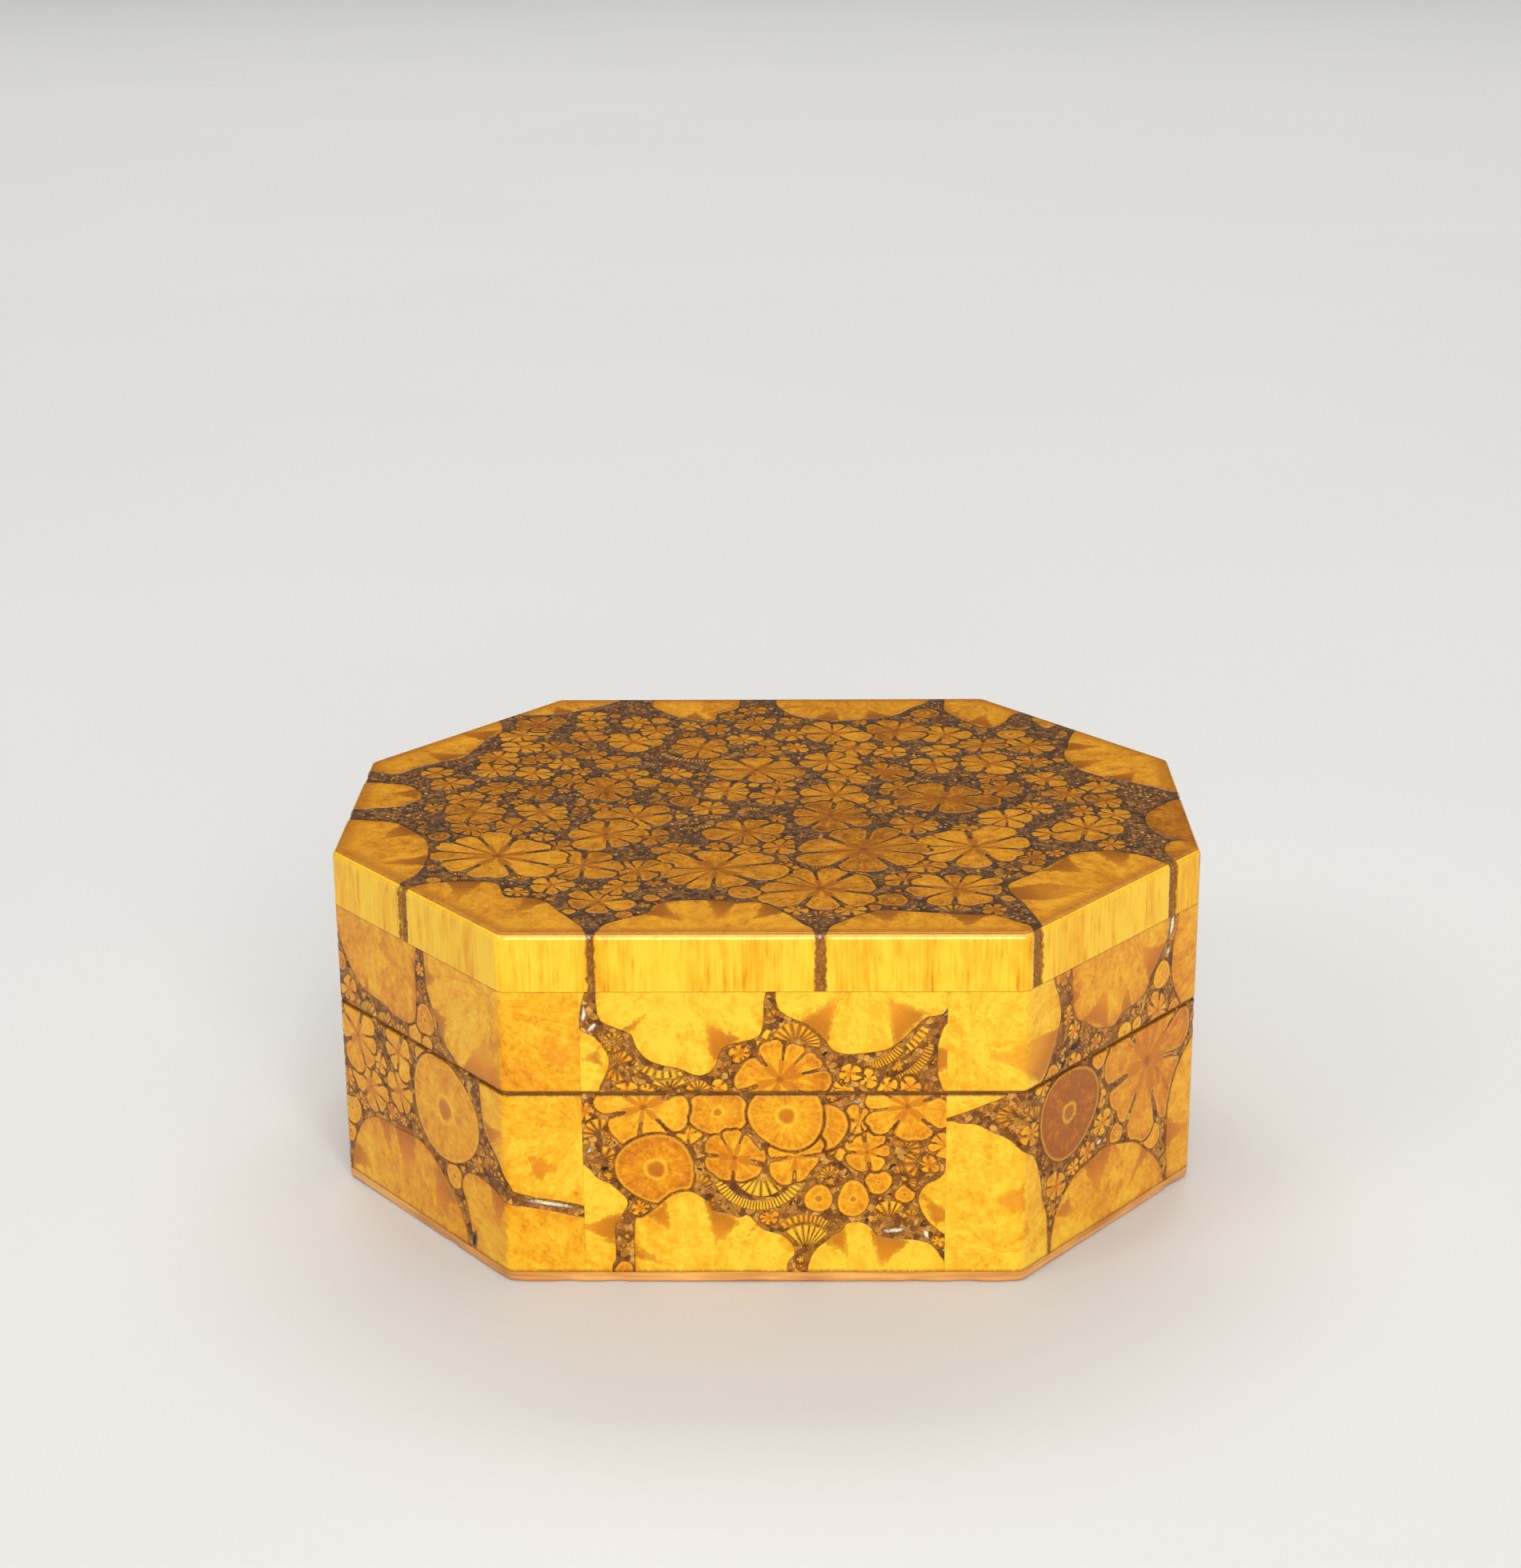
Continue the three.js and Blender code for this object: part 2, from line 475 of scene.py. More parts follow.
def station_point(station, inset):
    """The station's place in plan at an inset, and the outward direction there."""
    kind, here, there, share = station
    if kind == "straight":
        start, finish = here(inset)[-1], there(inset)[0]
        line = there(0)[0] - here(0)[-1]
        line = line / np.linalg.norm(line)
        return start + share * (finish - start), np.array((line[1], -line[0]))
    centre, radius, first, second = here(inset)[1]
    angle = math.atan2(first.out[1], first.out[0]) + corner_turn(first, second) * share
    out = np.array((math.cos(angle), math.sin(angle)))
    return centre + radius * out, out


def outline(stations, inset):
    """Every station's place at an inset, and every outward direction."""
    points = [station_point(one, inset) for one in stations]
    return np.array([point for point, _ in points]), np.array([out for _, out in points])


print("a corner turns by", round(math.degrees(corner_turn(faces[0], faces[1])), 2), "degrees")

# %% [markdown]
# ## What a slice is
# Each slice answers one question: how deep inside its rim is this point? The answer is a distance in
# millimetres, below zero outside. A distance survives on a coarse mesh far better than an edge does, so the
# finish can draw a crisp dark rim from it. A flower-like slice is a circle with notches, where bark has
# grown in between the lobes. A large slice has a free outline, and a bark key is a piece of a ring.


# %% Slices
swell = 1.12  # slices grow until they nearly touch, and later ones are cut back
bar_spacing = 0.95  # between two cross bars of ringed bark


def petal_phase(angle, petals, seed):
    """Counts the petals round a slice. The same formula is in the finish, so that the notches meet."""
    bend = 0.3 * np.sin(angle + seed) + 0.15 * np.sin(2 * angle + 2.1 * seed)
    return petals * (angle + bend) / (2 * math.pi)


def chance(*numbers):
    """A number from 0 to 1 that always is the same for the same place."""
    total = sum(n * (12.9898 + 31.7 * i) for i, n in enumerate(numbers))
    return math.modf(abs(math.sin(total) * 43758.5453))[0]


class Slice:
    """One slice of a stem, in the plane of its slab."""

    def __init__(self, x, y, reach, rim, turn=0.0, petals=0, tone=0.4, sort="small"):
        self.x, self.y = x, y
        self.reach = reach
        self.rim = rim
        self.turn = math.radians(turn)
        self.petals = petals
        self.tone = tone
        self.sort = sort
        self.seed = 6 * chance(x, y)

    def local(self, x, y):
        """A point seen from the slice's own middle and turn."""
        dx, dy = x - self.x, y - self.y
        c, s = math.cos(self.turn), math.sin(self.turn)
        return c * dx + s * dy, c * dy - s * dx


print("slices grow by a factor of", swell)

# %% [markdown]
# ## Kinds of slices
# The real faces show flowers with a notch between two petals, plain rounds with a dark pith, pieces of
# ringed bark that look like a row of keys, and chips. Each could be a mesh of its own, but then thousands
# of edges would have to meet. So each kind is a formula for its rim, and a point asks every formula.


# %% Kinds of slices
def flower(x, y, radius, petals=0, tone=0.45, notch=0.27, squash=1.0):
    """A lobed slice. Without a number of petals it gets five to nine, more on a larger one."""
    radius = radius * swell
    luck = chance(x, y, radius)
    petals = petals or round(4.2 + 0.26 * radius + 1.6 * luck)
    made = Slice(x, y, radius * 1.3, None, 360 * luck, petals, tone)

    def rim(px, py):
        lx, ly = made.local(px, py)
        angle, distance = np.arctan2(ly, lx), np.hypot(lx, ly / squash)
        phase = petal_phase(angle, petals, made.seed)
        near_gap = abs(2 * (phase - np.floor(phase)) - 1)
        cleft = 0.04 + 0.04 * np.sin(5 * made.seed + 2.4 * np.floor(phase))
        lobe = 1 - notch * near_gap**3 - cleft * (1 - near_gap) ** 4
        lobe = lobe + 0.1 * np.sin(7 * made.seed + 1.9 * np.floor(phase)) * (1 - near_gap**2)
        lobe = lobe + 0.07 * np.sin(2 * angle + 3 * made.seed) + 0.05 * np.sin(3 * angle + 5 * made.seed)
        return (radius * lobe - distance) * 0.93

    made.rim = rim
    return made


def plain(x, y, radius, tone=0.5, squash=1.0):
    """A round slice with its pith."""
    radius = radius * swell
    made = Slice(x, y, radius * 1.2, None, 0.0, 0, tone, "plain")

    def rim(px, py):
        lx, ly = made.local(px, py)
        angle = np.arctan2(ly, lx)
        wobble = 1 + 0.04 * np.sin(3 * angle + made.seed) + 0.03 * np.sin(2 * angle + 2 * made.seed)
        return radius * wobble - np.hypot(lx, ly / squash)

    made.rim = rim
    return made


def key_band(x, y, inner, outer, start, end, tone=0.35):
    """A piece of ringed bark round a middle, from one angle to another in degrees, with its cross bars."""
    middle, half = (start + end) / 2, math.radians(end - start) / 2
    bars = round(2 * math.pi * outer / bar_spacing)
    made = Slice(x, y, outer + 0.5, None, middle, bars, tone, "key")

    def rim(px, py):
        lx, ly = made.local(px, py)
        distance = np.hypot(lx, ly)
        across = np.minimum(outer - distance, distance - inner)
        return np.minimum(across, (half - abs(np.arctan2(ly, lx))) * np.maximum(distance, 0.3))

    made.rim = rim
    return made


def fan(x, y, radius, start, end, tone=0.35):
    """A key band that reaches in to its middle, like a shell."""
    made = key_band(x, y, 0.25 * radius, radius, start, end, tone)
    made.petals = max(9, round(made.petals * 0.75))
    return made


def chip(x, y, length, width, turn=0.0, sort="chip"):
    """A pale chip or a dark speck in the resin."""
    made = Slice(x, y, length, None, turn, 0, 0.0, sort)

    def rim(px, py):
        lx, ly = made.local(px, py)
        lx = lx + 0.25 * width * np.sin(3 * ly)
        return (1 - np.hypot(2 * lx / length, 2 * ly / width)) * width / 2

    made.rim = rim
    return made


print("a slice 8 mm in radius has", flower(-21, 34.5, 8).petals, "petals")

# %% [markdown]
# ## Large slices and their darts
# The large slices have no rule, so a few given points give each outline and a smooth curve joins them.
# An orange dart is a wedge of bark-stained wood that runs from the rim towards the middle. Darts are kept
# apart from the slices, because they only change the colour and never the rim.


# %% Large slices
def smooth_loop(points, steps=6):
    """A closed smooth curve through the points."""
    corners = np.array(points, float)
    before, after = np.roll(corners, 1, 0), np.roll(corners, -1, 0)
    later = np.roll(corners, -2, 0)
    curve = []
    for t in np.arange(steps) / steps:
        bend = 2 * corners + (after - before) * t
        bend = bend + (2 * before - 5 * corners + 4 * after - later) * t**2
        bend = bend + (3 * corners - before - 3 * after + later) * t**3
        curve.append(bend / 2)
    return np.stack(curve, 1).reshape(-1, 2)


def depth_in_loop(loop, x, y):
    """Distance to a closed line, above zero inside it."""
    nearest = np.full(x.shape, 1e9)
    inside = np.zeros(x.shape, bool)
    for (ax, ay), (bx, by) in zip(loop, np.roll(loop, -1, 0)):
        dx, dy = bx - ax, by - ay
        share = np.clip(((x - ax) * dx + (y - ay) * dy) / max(dx * dx + dy * dy, 1e-9), 0, 1)
        nearest = np.minimum(nearest, np.hypot(x - ax - share * dx, y - ay - share * dy))
        if ay != by:
            inside ^= ((ay > y) != (by > y)) & (x < ax + (y - ay) * dx / dy)
    return np.where(inside, nearest, -nearest)


def large(rim_points, hidden, middle, tone):
    """A large slice: its rim as it shows, then points out of sight that close it, and its middle."""
    loop = smooth_loop([*rim_points, *hidden])
    reach = np.linalg.norm(loop - middle, axis=1).max()
    return Slice(*middle, reach, lambda px, py: depth_in_loop(loop, px, py), tone=tone, sort="large")


def dart(*points):
    """A wedge of stained wood: most often two points on the rim and its tip."""
    return np.array(points, float)


print("large slices are ready")

# %% [markdown]
# ## From slices to a field
# For every point of a slab we look for the slice in which it lies deepest. Slices that come first in a list
# win: a later one is cut back where it would run under an earlier one, as a neighbour's rim presses in.
# What we keep for the finish is the place seen from that slice's middle, the depth, and what sort it is.

# %% Fields
look_round = 3.0  # how far outside its rim a slice is still measured
least_gap = 0.22  # resin between two slices that touch
sorts = {
    "small": (0, 0, 0),
    "plain": (0, 0, 0),
    "large": (1, 0, 0),
    "key": (0, 1, 0),
    "chip": (0, 0, 1),
    "speck": (0, 0, 2),
}


def fields_at(x, y, slices, darts):
    """The attributes of the points: seen from the slice, its marks, its sort, and the darts' depth."""
    count = len(x)
    best = np.full(count, -look_round)
    taken = np.full(count, -1e9)
    stem = np.zeros((count, 3))
    mark = np.zeros((count, 3))
    sort = np.zeros((count, 3))
    for one in slices:
        near = np.hypot(x - one.x, y - one.y) < one.reach + look_round
        px, py = x[near], y[near]
        if not len(px):
            continue
        own = one.rim(px, py)
        depth = np.minimum(own, -taken[near] - least_gap)
        taken[near] = np.maximum(taken[near], own)
        wins = depth > best[near]
        chosen = np.flatnonzero(near)[wins]
        best[chosen] = depth[wins]
        lx, ly = one.local(px[wins], py[wins])
        stem[chosen, 0], stem[chosen, 1] = lx, ly
        mark[chosen] = (one.petals, one.seed, one.tone)
        sort[chosen] = sorts[one.sort]
    stem[:, 2] = best
    wedge = np.full(count, -look_round)
    for one in darts:
        (low_x, low_y), (high_x, high_y) = one.min(0) - look_round, one.max(0) + look_round
        near = (x > low_x) & (x < high_x) & (y > low_y) & (y < high_y)
        wedge[near] = np.maximum(wedge[near], depth_in_loop(one, x[near], y[near]))
    return {"stem": stem, "mark": mark, "sort": sort, "wedge": wedge}


print("fields:", ", ".join(("stem", "mark", "sort", "wedge")))

# %% [markdown]
# ## Relief and loose bark
# The resin lies a little below the wood, and close to a slab's edge it is level again. A displacement
# modifier could sink it, but the points are made here anyway, so they are made at the right depth. Where
# the resin is open and flat, loose bark may lie on it.

# %% Relief
resin_sink = 0.14  # how far the resin lies below the wood
edge_fade = 0.5  # the resin is level again this close to a slab's edge
crumb_from_wood = 0.45  # loose bark keeps away from the slices and from a slab's edges
crumb_from_edge = 1.0


def smooth_rise(low, high, value):
    """Goes smoothly from 0 to 1 as the value goes from low to high."""
    share = np.clip((value - low) / (high - low), 0, 1)
    return share * share * (3 - 2 * share)


def sink_at(fields, x, y, room, depth=resin_sink):
    """How far each point lies below the face, less where there is little room to an edge."""
    uneven = 0.9 + 0.1 * np.sin(2.3 * x + 1.1 * y) * np.sin(1.9 * y - 0.7 * x)
    return depth * uneven * smooth_rise(0.12, -0.35, fields["stem"][:, 2]) * np.clip(room / edge_fade, 0, 1)


def crumb_ground(fields, room, level=True):
    """One where loose bark may lie: in open resin, on a flat stretch, away from edges."""
    return ((fields["stem"][:, 2] < -crumb_from_wood) & (room > crumb_from_edge) & level).astype(float)


print("the resin lies", resin_sink, "mm below the wood")

# %% [markdown]
# ## Making a mesh
# Every slab becomes a mesh in the same way, so one function does it and checks that the skin is closed.
# Smooth shading makes the fine sheet look round where it turns, and faces that meet at a sharp angle keep
# their edge.

# %% Meshes
sharp_angle = math.radians(40)  # faces that meet at more than this keep a sharp edge


def make_mesh(name, points, polygons, fields, finishes, finish_of):
    """A mesh in metres with its attributes. It stops the script if an edge hasn't two faces."""
    mesh = bpy.data.meshes.new(name)
    mesh.from_pydata((points * MM).tolist(), [], polygons)
    for key, values in fields.items():
        kind, part = ("FLOAT", "value") if values.ndim == 1 else ("FLOAT_VECTOR", "vector")
        mesh.attributes.new(key, kind, "POINT").data.foreach_set(part, values.astype(np.float32).ravel())
    for finish in finishes:
        mesh.materials.append(finish)
    mesh.polygons.foreach_set("material_index", np.array(finish_of, np.int32))
    mesh.polygons.foreach_set("use_smooth", np.ones(len(polygons), bool))
    mesh.set_sharp_from_angle(angle=sharp_angle)
    edges = np.zeros(len(mesh.loops), np.int32)
    mesh.loops.foreach_get("edge_index", edges)
    open_edges = int((np.bincount(edges, minlength=len(mesh.edges)) != 2).sum())
    if open_edges:
        raise ValueError(f"{name} has {open_edges} open edges")
    return mesh


def sheet_quads(rows, columns, closed=False):
    """Quads of a sheet of points, row by row, each row going round from left to right."""
    grid = np.arange(rows * columns).reshape(rows, columns)
    ahead = np.roll(grid, -1, 1) if closed else grid[:, 1:]
    here = grid if closed else grid[:, :-1]
    return np.stack((here[:-1], ahead[:-1], ahead[1:], here[1:]), -1).reshape(-1, 4).tolist()


print("a sheet of 3 by 3 points has", len(sheet_quads(3, 3)), "quads")

# %% [markdown]
# ## Sweeping a wall slab
# A wall slab is one closed skin: a fine sheet for the outer face, the step at the seam, and plain flat
# faces inside. We could cut a block with booleans, but they would lose the attributes and leave thin
# triangles. So rows of stations are stacked and joined by quads, and each flat face is one polygon.

# %% Parts of a wall slab
seam_round = 0.5
seam_steps = 3


def slab_rows(closed_end, seam, step_end, step_inset, spacing):
    """Heights and insets of the rows, and how many of them are fine: face, worn edge, then the step."""
    upward = 1 if seam > closed_end else -1
    count = math.ceil(abs(seam - closed_end) / spacing)
    rows = [(z, 0.0) for z in np.linspace(closed_end, seam - upward * seam_round, count)]
    for step in range(1, seam_steps + 1):
        angle = math.pi / 2 * step / seam_steps
        rows.append((seam - upward * seam_round * (1 - math.sin(angle)), seam_round * (1 - math.cos(angle))))
    return rows + [(seam, step_inset), (step_end, step_inset)], len(rows)


def slab_stations(here, before, after, spacing):
    """Stations over the outer face. A slanting slab runs round both corners as far as its saw cuts."""
    if here.slanting:
        ends = (end_point(before, here, wall), end_point(after, here, wall))
        return stations_between(ends, [rounded_corner(before, here), rounded_corner(here, after)], spacing)
    cut = wall + hairline
    return stations_between((end_point(here, before, cut), end_point(here, after, cut)), [], spacing)


def slab_flats(count, rows, columns, slanting):
    """The plain faces that close the slab. A straight one has four more points, on its inner face."""
    start = [row * columns for row in range(rows)]
    finish = [one + columns - 1 for one in start]
    low_chain = list(range(start[0], finish[0] + 1))
    high_chain = list(range(start[-1], finish[-1] + 1))
    if slanting:
        return [low_chain[::-1], high_chain, start + finish[::-1]]
    low_left, low_right, high_left, high_right = range(count, count + 4)
    return [
        [low_left, low_right, *low_chain[::-1]],
        [*high_chain, high_right, high_left],
        [*start, high_left, low_left],
        [*finish[::-1], low_right, high_right],
        [low_left, high_left, high_right, low_right],
    ]


print("wall slabs step in at the seam with a rounding of", seam_round, "mm")


# %% One wall slab
def wall_slab(name, index, heights, step_inset, slices, darts, finishes, spacing):
    """One slab. Heights are its closed end, the seam, and the end of the step past the seam."""
    here, before, after = faces[index], faces[index - 1], faces[(index + 1) % len(faces)]
    closed_end, seam, step_end = heights
    stations = slab_stations(here, before, after, spacing)
    rows, fine_rows = slab_rows(*heights, step_inset, spacing)
    columns = len(stations)
    plans = [outline(stations, inset) for _, inset in rows]
    plan = np.concatenate([points for points, _ in plans])
    out = np.concatenate([outs for _, outs in plans])
    z = np.repeat([height for height, _ in rows], columns)

    middle = (meeting(before, 0, here, 0) + meeting(here, 0, after, 0)) / 2
    across = (plan - middle) @ here.along
    fields = fields_at(across, z, slices, darts)
    first, last = plans[0][0][0], plans[0][0][-1]
    to_end = np.minimum(np.linalg.norm(plan - first, axis=1), np.linalg.norm(plan - last, axis=1))
    room = np.minimum(to_end, np.minimum(abs(z - closed_end), abs(z - seam)))
    sink = sink_at(fields, across, z, room)
    sink[fine_rows * columns:] = 0
    level = np.array([kind == "straight" and 0.02 < share < 0.98 for kind, _, _, share in stations])
    fields["crumbs"] = crumb_ground(fields, room, np.tile(level, len(rows)))
    fields["up"] = np.column_stack((out, np.zeros(len(out))))
    points = np.column_stack((plan - out * sink[:, None], z))

    flats = slab_flats(len(points), len(rows), columns, here.slanting)
    if not here.slanting:
        left, right = (meeting(here, wall, other, wall + hairline) for other in (before, after))
        corners = [(*left, closed_end), (*right, closed_end), (*left, step_end), (*right, step_end)]
        points = np.vstack((points, corners))
        fields = {key: np.concatenate((one, np.zeros((4, *one.shape[1:])))) for key, one in fields.items()}
    polygons = sheet_quads(len(rows), columns) + flats
    if seam < closed_end:
        polygons = [polygon[::-1] for polygon in polygons]
    finish_of = [0] * ((fine_rows - 1) * (columns - 1)) + [1] * (2 * (columns - 1) + len(flats))
    return make_mesh(name, points, polygons, fields, finishes, finish_of)


print("wall slabs are ready")

# %% [markdown]
# ## The top slab
# The top is a flat sheet with a rounded edge and an upright band below it. Its sheet could be rows of quads
# too, but an octagon has no rows. So even points fill it, and a constrained triangulation joins them to
# the edge.

# %% Round the box
def round_outline(spacing):
    """Stations all the way round the box."""
    bends = [rounded_corner(face, faces[(i + 1) % len(faces)]) for i, face in enumerate(faces)]
    stations = []
    for here, there in zip([bends[-1], *bends[:-1]], bends):
        count = math.ceil(np.linalg.norm(there(0)[0] - here(0)[-1]) / spacing)
        stations += [("straight", here, there, step / count) for step in range(count + 1)]
        stations += [("turn", there, there, step / corner_steps) for step in range(1, corner_steps)]
    return stations


def room_inside(x, y, inset):
    """How far points lie inside the outline at an inset."""
    return np.min([face.distance - inset - face.out[0] * x - face.out[1] * y for face in faces], axis=0)


print("the middle lies", round(float(room_inside(0, 0, 0)), 1), "mm inside the outline")

# %% Edge and sheet of the top
top_round = 1.2
round_steps = 5
band_rows = 14
band_sink = 0.4  # resin columns in the band are deeper


def top_skirt(underside, height, slices, darts, spacing):
    """The rounding and the band as rows of points: the points, their attributes and the rows' length."""
    stations = round_outline(spacing)
    rows = [(height, top_round)]
    for step in range(1, round_steps + 1):
        angle = math.pi / 2 * step / round_steps
        rows.append((height - top_round * (1 - math.cos(angle)), top_round * (1 - math.sin(angle))))
    rows += [(z, 0.0) for z in np.linspace(height - top_round, underside, band_rows)[1:]]
    plans = [outline(stations, inset) for _, inset in rows]
    plan = np.concatenate([points for points, _ in plans])
    out = np.concatenate([outs for _, outs in plans])
    columns = len(stations)
    z = np.repeat([one for one, _ in rows], columns)
    fields = fields_at(plan[:, 0], plan[:, 1], slices, darts)
    room = np.minimum(height - z, (z - underside) * 0.4)
    sink = sink_at(fields, plan[:, 0] + z, plan[:, 1], room, band_sink)
    fields["crumbs"] = np.zeros(len(z))
    fields["up"] = np.column_stack((out, np.zeros(len(z))))
    return np.column_stack((plan - out * sink[:, None], z)), fields, columns


def top_sheet(height, slices, darts, spacing):
    """Even points over the flat of the top, with their attributes."""
    side = np.arange(-half_width, half_width, spacing)
    x, y = (one.ravel() for one in np.meshgrid(side, side))
    inside = room_inside(x, y, top_round) > spacing * 0.6
    x, y = x[inside], y[inside]
    fields = fields_at(x, y, slices, darts)
    room = room_inside(x, y, top_round)
    fields["crumbs"] = crumb_ground(fields, room)
    fields["up"] = np.tile((0.0, 0.0, 1.0), (len(x), 1))
    return np.column_stack((x, y, height - sink_at(fields, x, y, room))), fields


def joined_triangles(edge, sheet):
    """Triangles that fill the edge's loop and use every point of the sheet, which are numbered after it."""
    flat = [Vector(one) for one in np.vstack((edge, sheet))]
    loop = [(i, (i + 1) % len(edge)) for i in range(len(edge))]
    found, _, triangles, origins, _, _ = delaunay_2d_cdt(flat, loop, [], 1, 1e-5)
    if len(found) != len(flat):
        raise ValueError("the top's triangulation moved points")
    return np.array([one[0] for one in origins])[np.array(triangles)]


print("the top's edge is rounded to", top_round, "mm")


# %% Top slab
worn_rows = 2  # rows of the rounding that show the top's slices


def top_slab(name, slices, darts, finishes, spacing):
    """The whole top: its sheet, its rounded edge with the band, and one flat face below."""
    underside, height = lid_box[0].z, lid_box[1].z
    skirt, skirt_fields, columns = top_skirt(underside, height, slices, darts, spacing)
    sheet, sheet_fields = top_sheet(height, slices, darts, spacing)
    edge = outline(round_outline(spacing), top_round)[0]
    top = joined_triangles(edge, sheet[:, :2])
    top = np.where(top < columns, top, top - columns + len(skirt)).tolist()
    points = np.vstack((skirt, sheet))
    fields = {key: np.concatenate((one, sheet_fields[key])) for key, one in skirt_fields.items()}
    quads = [quad[::-1] for quad in sheet_quads(len(skirt) // columns, columns, closed=True)]
    last = len(skirt) - columns
    polygons = top + quads + [list(range(last, last + columns))[::-1]]
    finish_of = [0] * (len(top) + worn_rows * columns)
    finish_of += [1] * (len(quads) - worn_rows * columns) + [2]
    return make_mesh(name, points, polygons, fields, finishes, finish_of)


print("the top's band has", band_rows, "rows of points")

# %% [markdown]
# ## The bottom board
# A thin plain board closes the box from below, and its foot is rounded and knocked. A bevel would round it
# evenly all the way. So the sweep rounds it, and a product of two waves takes a little more off here and
# there.

# %% Bottom board
foot_round = 0.9
knock_depth = 0.35


def bottom_board(name, finishes, spacing):
    """The thin board. Its foot is rounded, and small knocks take a little more off."""
    top = board_box[1].z
    stations = round_outline(spacing)
    turns = [math.pi / 2 * step / round_steps for step in range(round_steps + 1)]
    rows = [(foot_round * (1 - math.cos(one)), foot_round * (1 - math.sin(one))) for one in turns]
    rows.append((top, 0.0))
    plans = [outline(stations, inset) for _, inset in rows]
    plan = np.concatenate([points for points, _ in plans])
    out = np.concatenate([outs for _, outs in plans])
    columns = len(stations)
    z = np.repeat([one for one, _ in rows], columns)
    x, y = plan[:, 0], plan[:, 1]
    knocks = smooth_rise(0.35, 1.0, np.sin(0.31 * x) * np.sin(0.23 * y + 1.3 * np.sin(0.4 * x)))
    worn = knock_depth * knocks * smooth_rise(top, 0, z)
    points = np.column_stack((plan - out * worn[:, None], z))
    quads = sheet_quads(len(rows), columns, closed=True)
    last = len(points) - columns
    flats = [list(range(columns))[::-1], list(range(last, last + columns))]
    return make_mesh(name, points, quads + flats, {}, finishes, [0] * (len(quads) + 2))


print("the board's foot is rounded to", foot_round, "mm")

# %% [markdown]
# ## The finish of sawn slices
# On the real slab the wood is pale yellow to amber under a glossy varnish, each slice has a thin dark rim,
# and brown resin full of bark fills the rest. One finish draws them all. It reads the depth inside the rim,
# works out the gaps between lobes with the slice's own formula, and then lays one colour over the other.
# The gaps are worked out here and not in the mesh, because they are finer than its squares.


# %% Where a point lies in its slice
class SliceFinish(Finish):
    """A finish that knows the slices: their attributes, the usual noises, and the colour so far."""

    def __init__(self, name, wood_stops, rim_colour, dart_colour):
        super().__init__(name)
        self.wood_stops = wood_stops
        self.rim_colour = rim_colour
        self.dart_colour = dart_colour
        self.x, self.y, self.depth = self.parts(self.attribute("stem"))
        self.petals, self.seed, self.tone = self.parts(self.attribute("mark"))
        self.is_large, self.is_key, self.is_chip = self.parts(self.attribute("sort"))
        self.wedge = self.attribute("wedge", "Fac")
        self.here = self.place((1, 1, 1))
        self.fine = self.noise(self.here, 1.7, 3.0)
        self.coarse = self.noise(self.here, 0.32, 3.0)
        self.blotch = self.noise(self.here, 0.85, 4.0, 0.7)
        self.colour = None

    def lay(self, share, colour):
        """Lays a colour over the one so far."""
        self.colour = self.mix(share, self.colour, colour)

    def luck(self, number):
        """A random number that is the same wherever the given number is."""
        return self.node("ShaderNodeTexWhiteNoise", {"noise_dimensions": "1D"}, {"W": number})


def find_place(f):
    """The angle, the share of the way to the rim, and the distance to the next gap between lobes."""
    f.distance = (f.x * f.x + f.y * f.y) ** 0.5
    f.angle = f.maths("ARCTAN2", f.y, f.x)
    bend = f.maths("SINE", f.angle + f.seed) * 0.3 + f.maths("SINE", f.angle * 2 + f.seed * 2.1) * 0.15
    f.phase = f.petals * (f.angle + bend) * (1 / (2 * math.pi))
    f.part = f.maths("FRACT", f.phase)
    f.lobed = f.petals > 0.5
    f.count = f.maths("MAXIMUM", f.petals, 1.0)
    f.to_gap = (0.5 - abs(f.part - 0.5)) * f.distance * (2 * math.pi) / f.count
    f.reach = f.distance + f.maths("MAXIMUM", f.depth, 0.0)
    f.outward = f.distance / f.maths("MAXIMUM", f.reach, 0.5)
    across = {0: f.maths("COSINE", f.angle) * 13, 1: f.maths("SINE", f.angle) * 13, 2: f.distance * 0.22}
    f.rays = f.noise(f.node("ShaderNodeCombineXYZ", {}, across), 1.0, 3.0, 0.6)


print("the slices' attributes: stem, mark, sort, wedge")


# %% Rims, gaps and grain
rim_width = 0.26


def find_rims(f):
    """Where there is wood, and the dark and pale lines along its rims and gaps, a little uneven."""
    small = (1 - f.is_large) * (1 - f.is_key)
    f.depth = f.depth + (f.fine - 0.5) * 0.3 + (f.rays - 0.5) * 0.5 * small
    gap = (f.outward * f.outward * f.reach * 0.035 + 0.04) * (1 - f.is_key) + f.is_key * 0.07
    closed = f.outward.between(0.28, 0.55, 9.0, 0.0) * (1 - f.is_key) + (1 - f.lobed) * 9
    ragged = (f.fine - 0.5) * 0.25 + (f.blotch - 0.5) * 0.7 * (1 - f.is_key)
    inside = f.maths("MINIMUM", f.depth, f.to_gap + ragged - gap + closed)
    f.wood = inside.between(-0.06, 0.07)
    f.dark_rim = inside.between(0.0, rim_width, 1.0, 0.0)
    f.pale_rim = inside.between(0.2, 0.4) * inside.between(0.4, 1.0, 1.0, 0.0) * (1 - f.is_large)
    f.glow = (f.depth + (f.coarse - 0.5) * 2.4).between(0.2, 2.4, 1.0, 0.0)


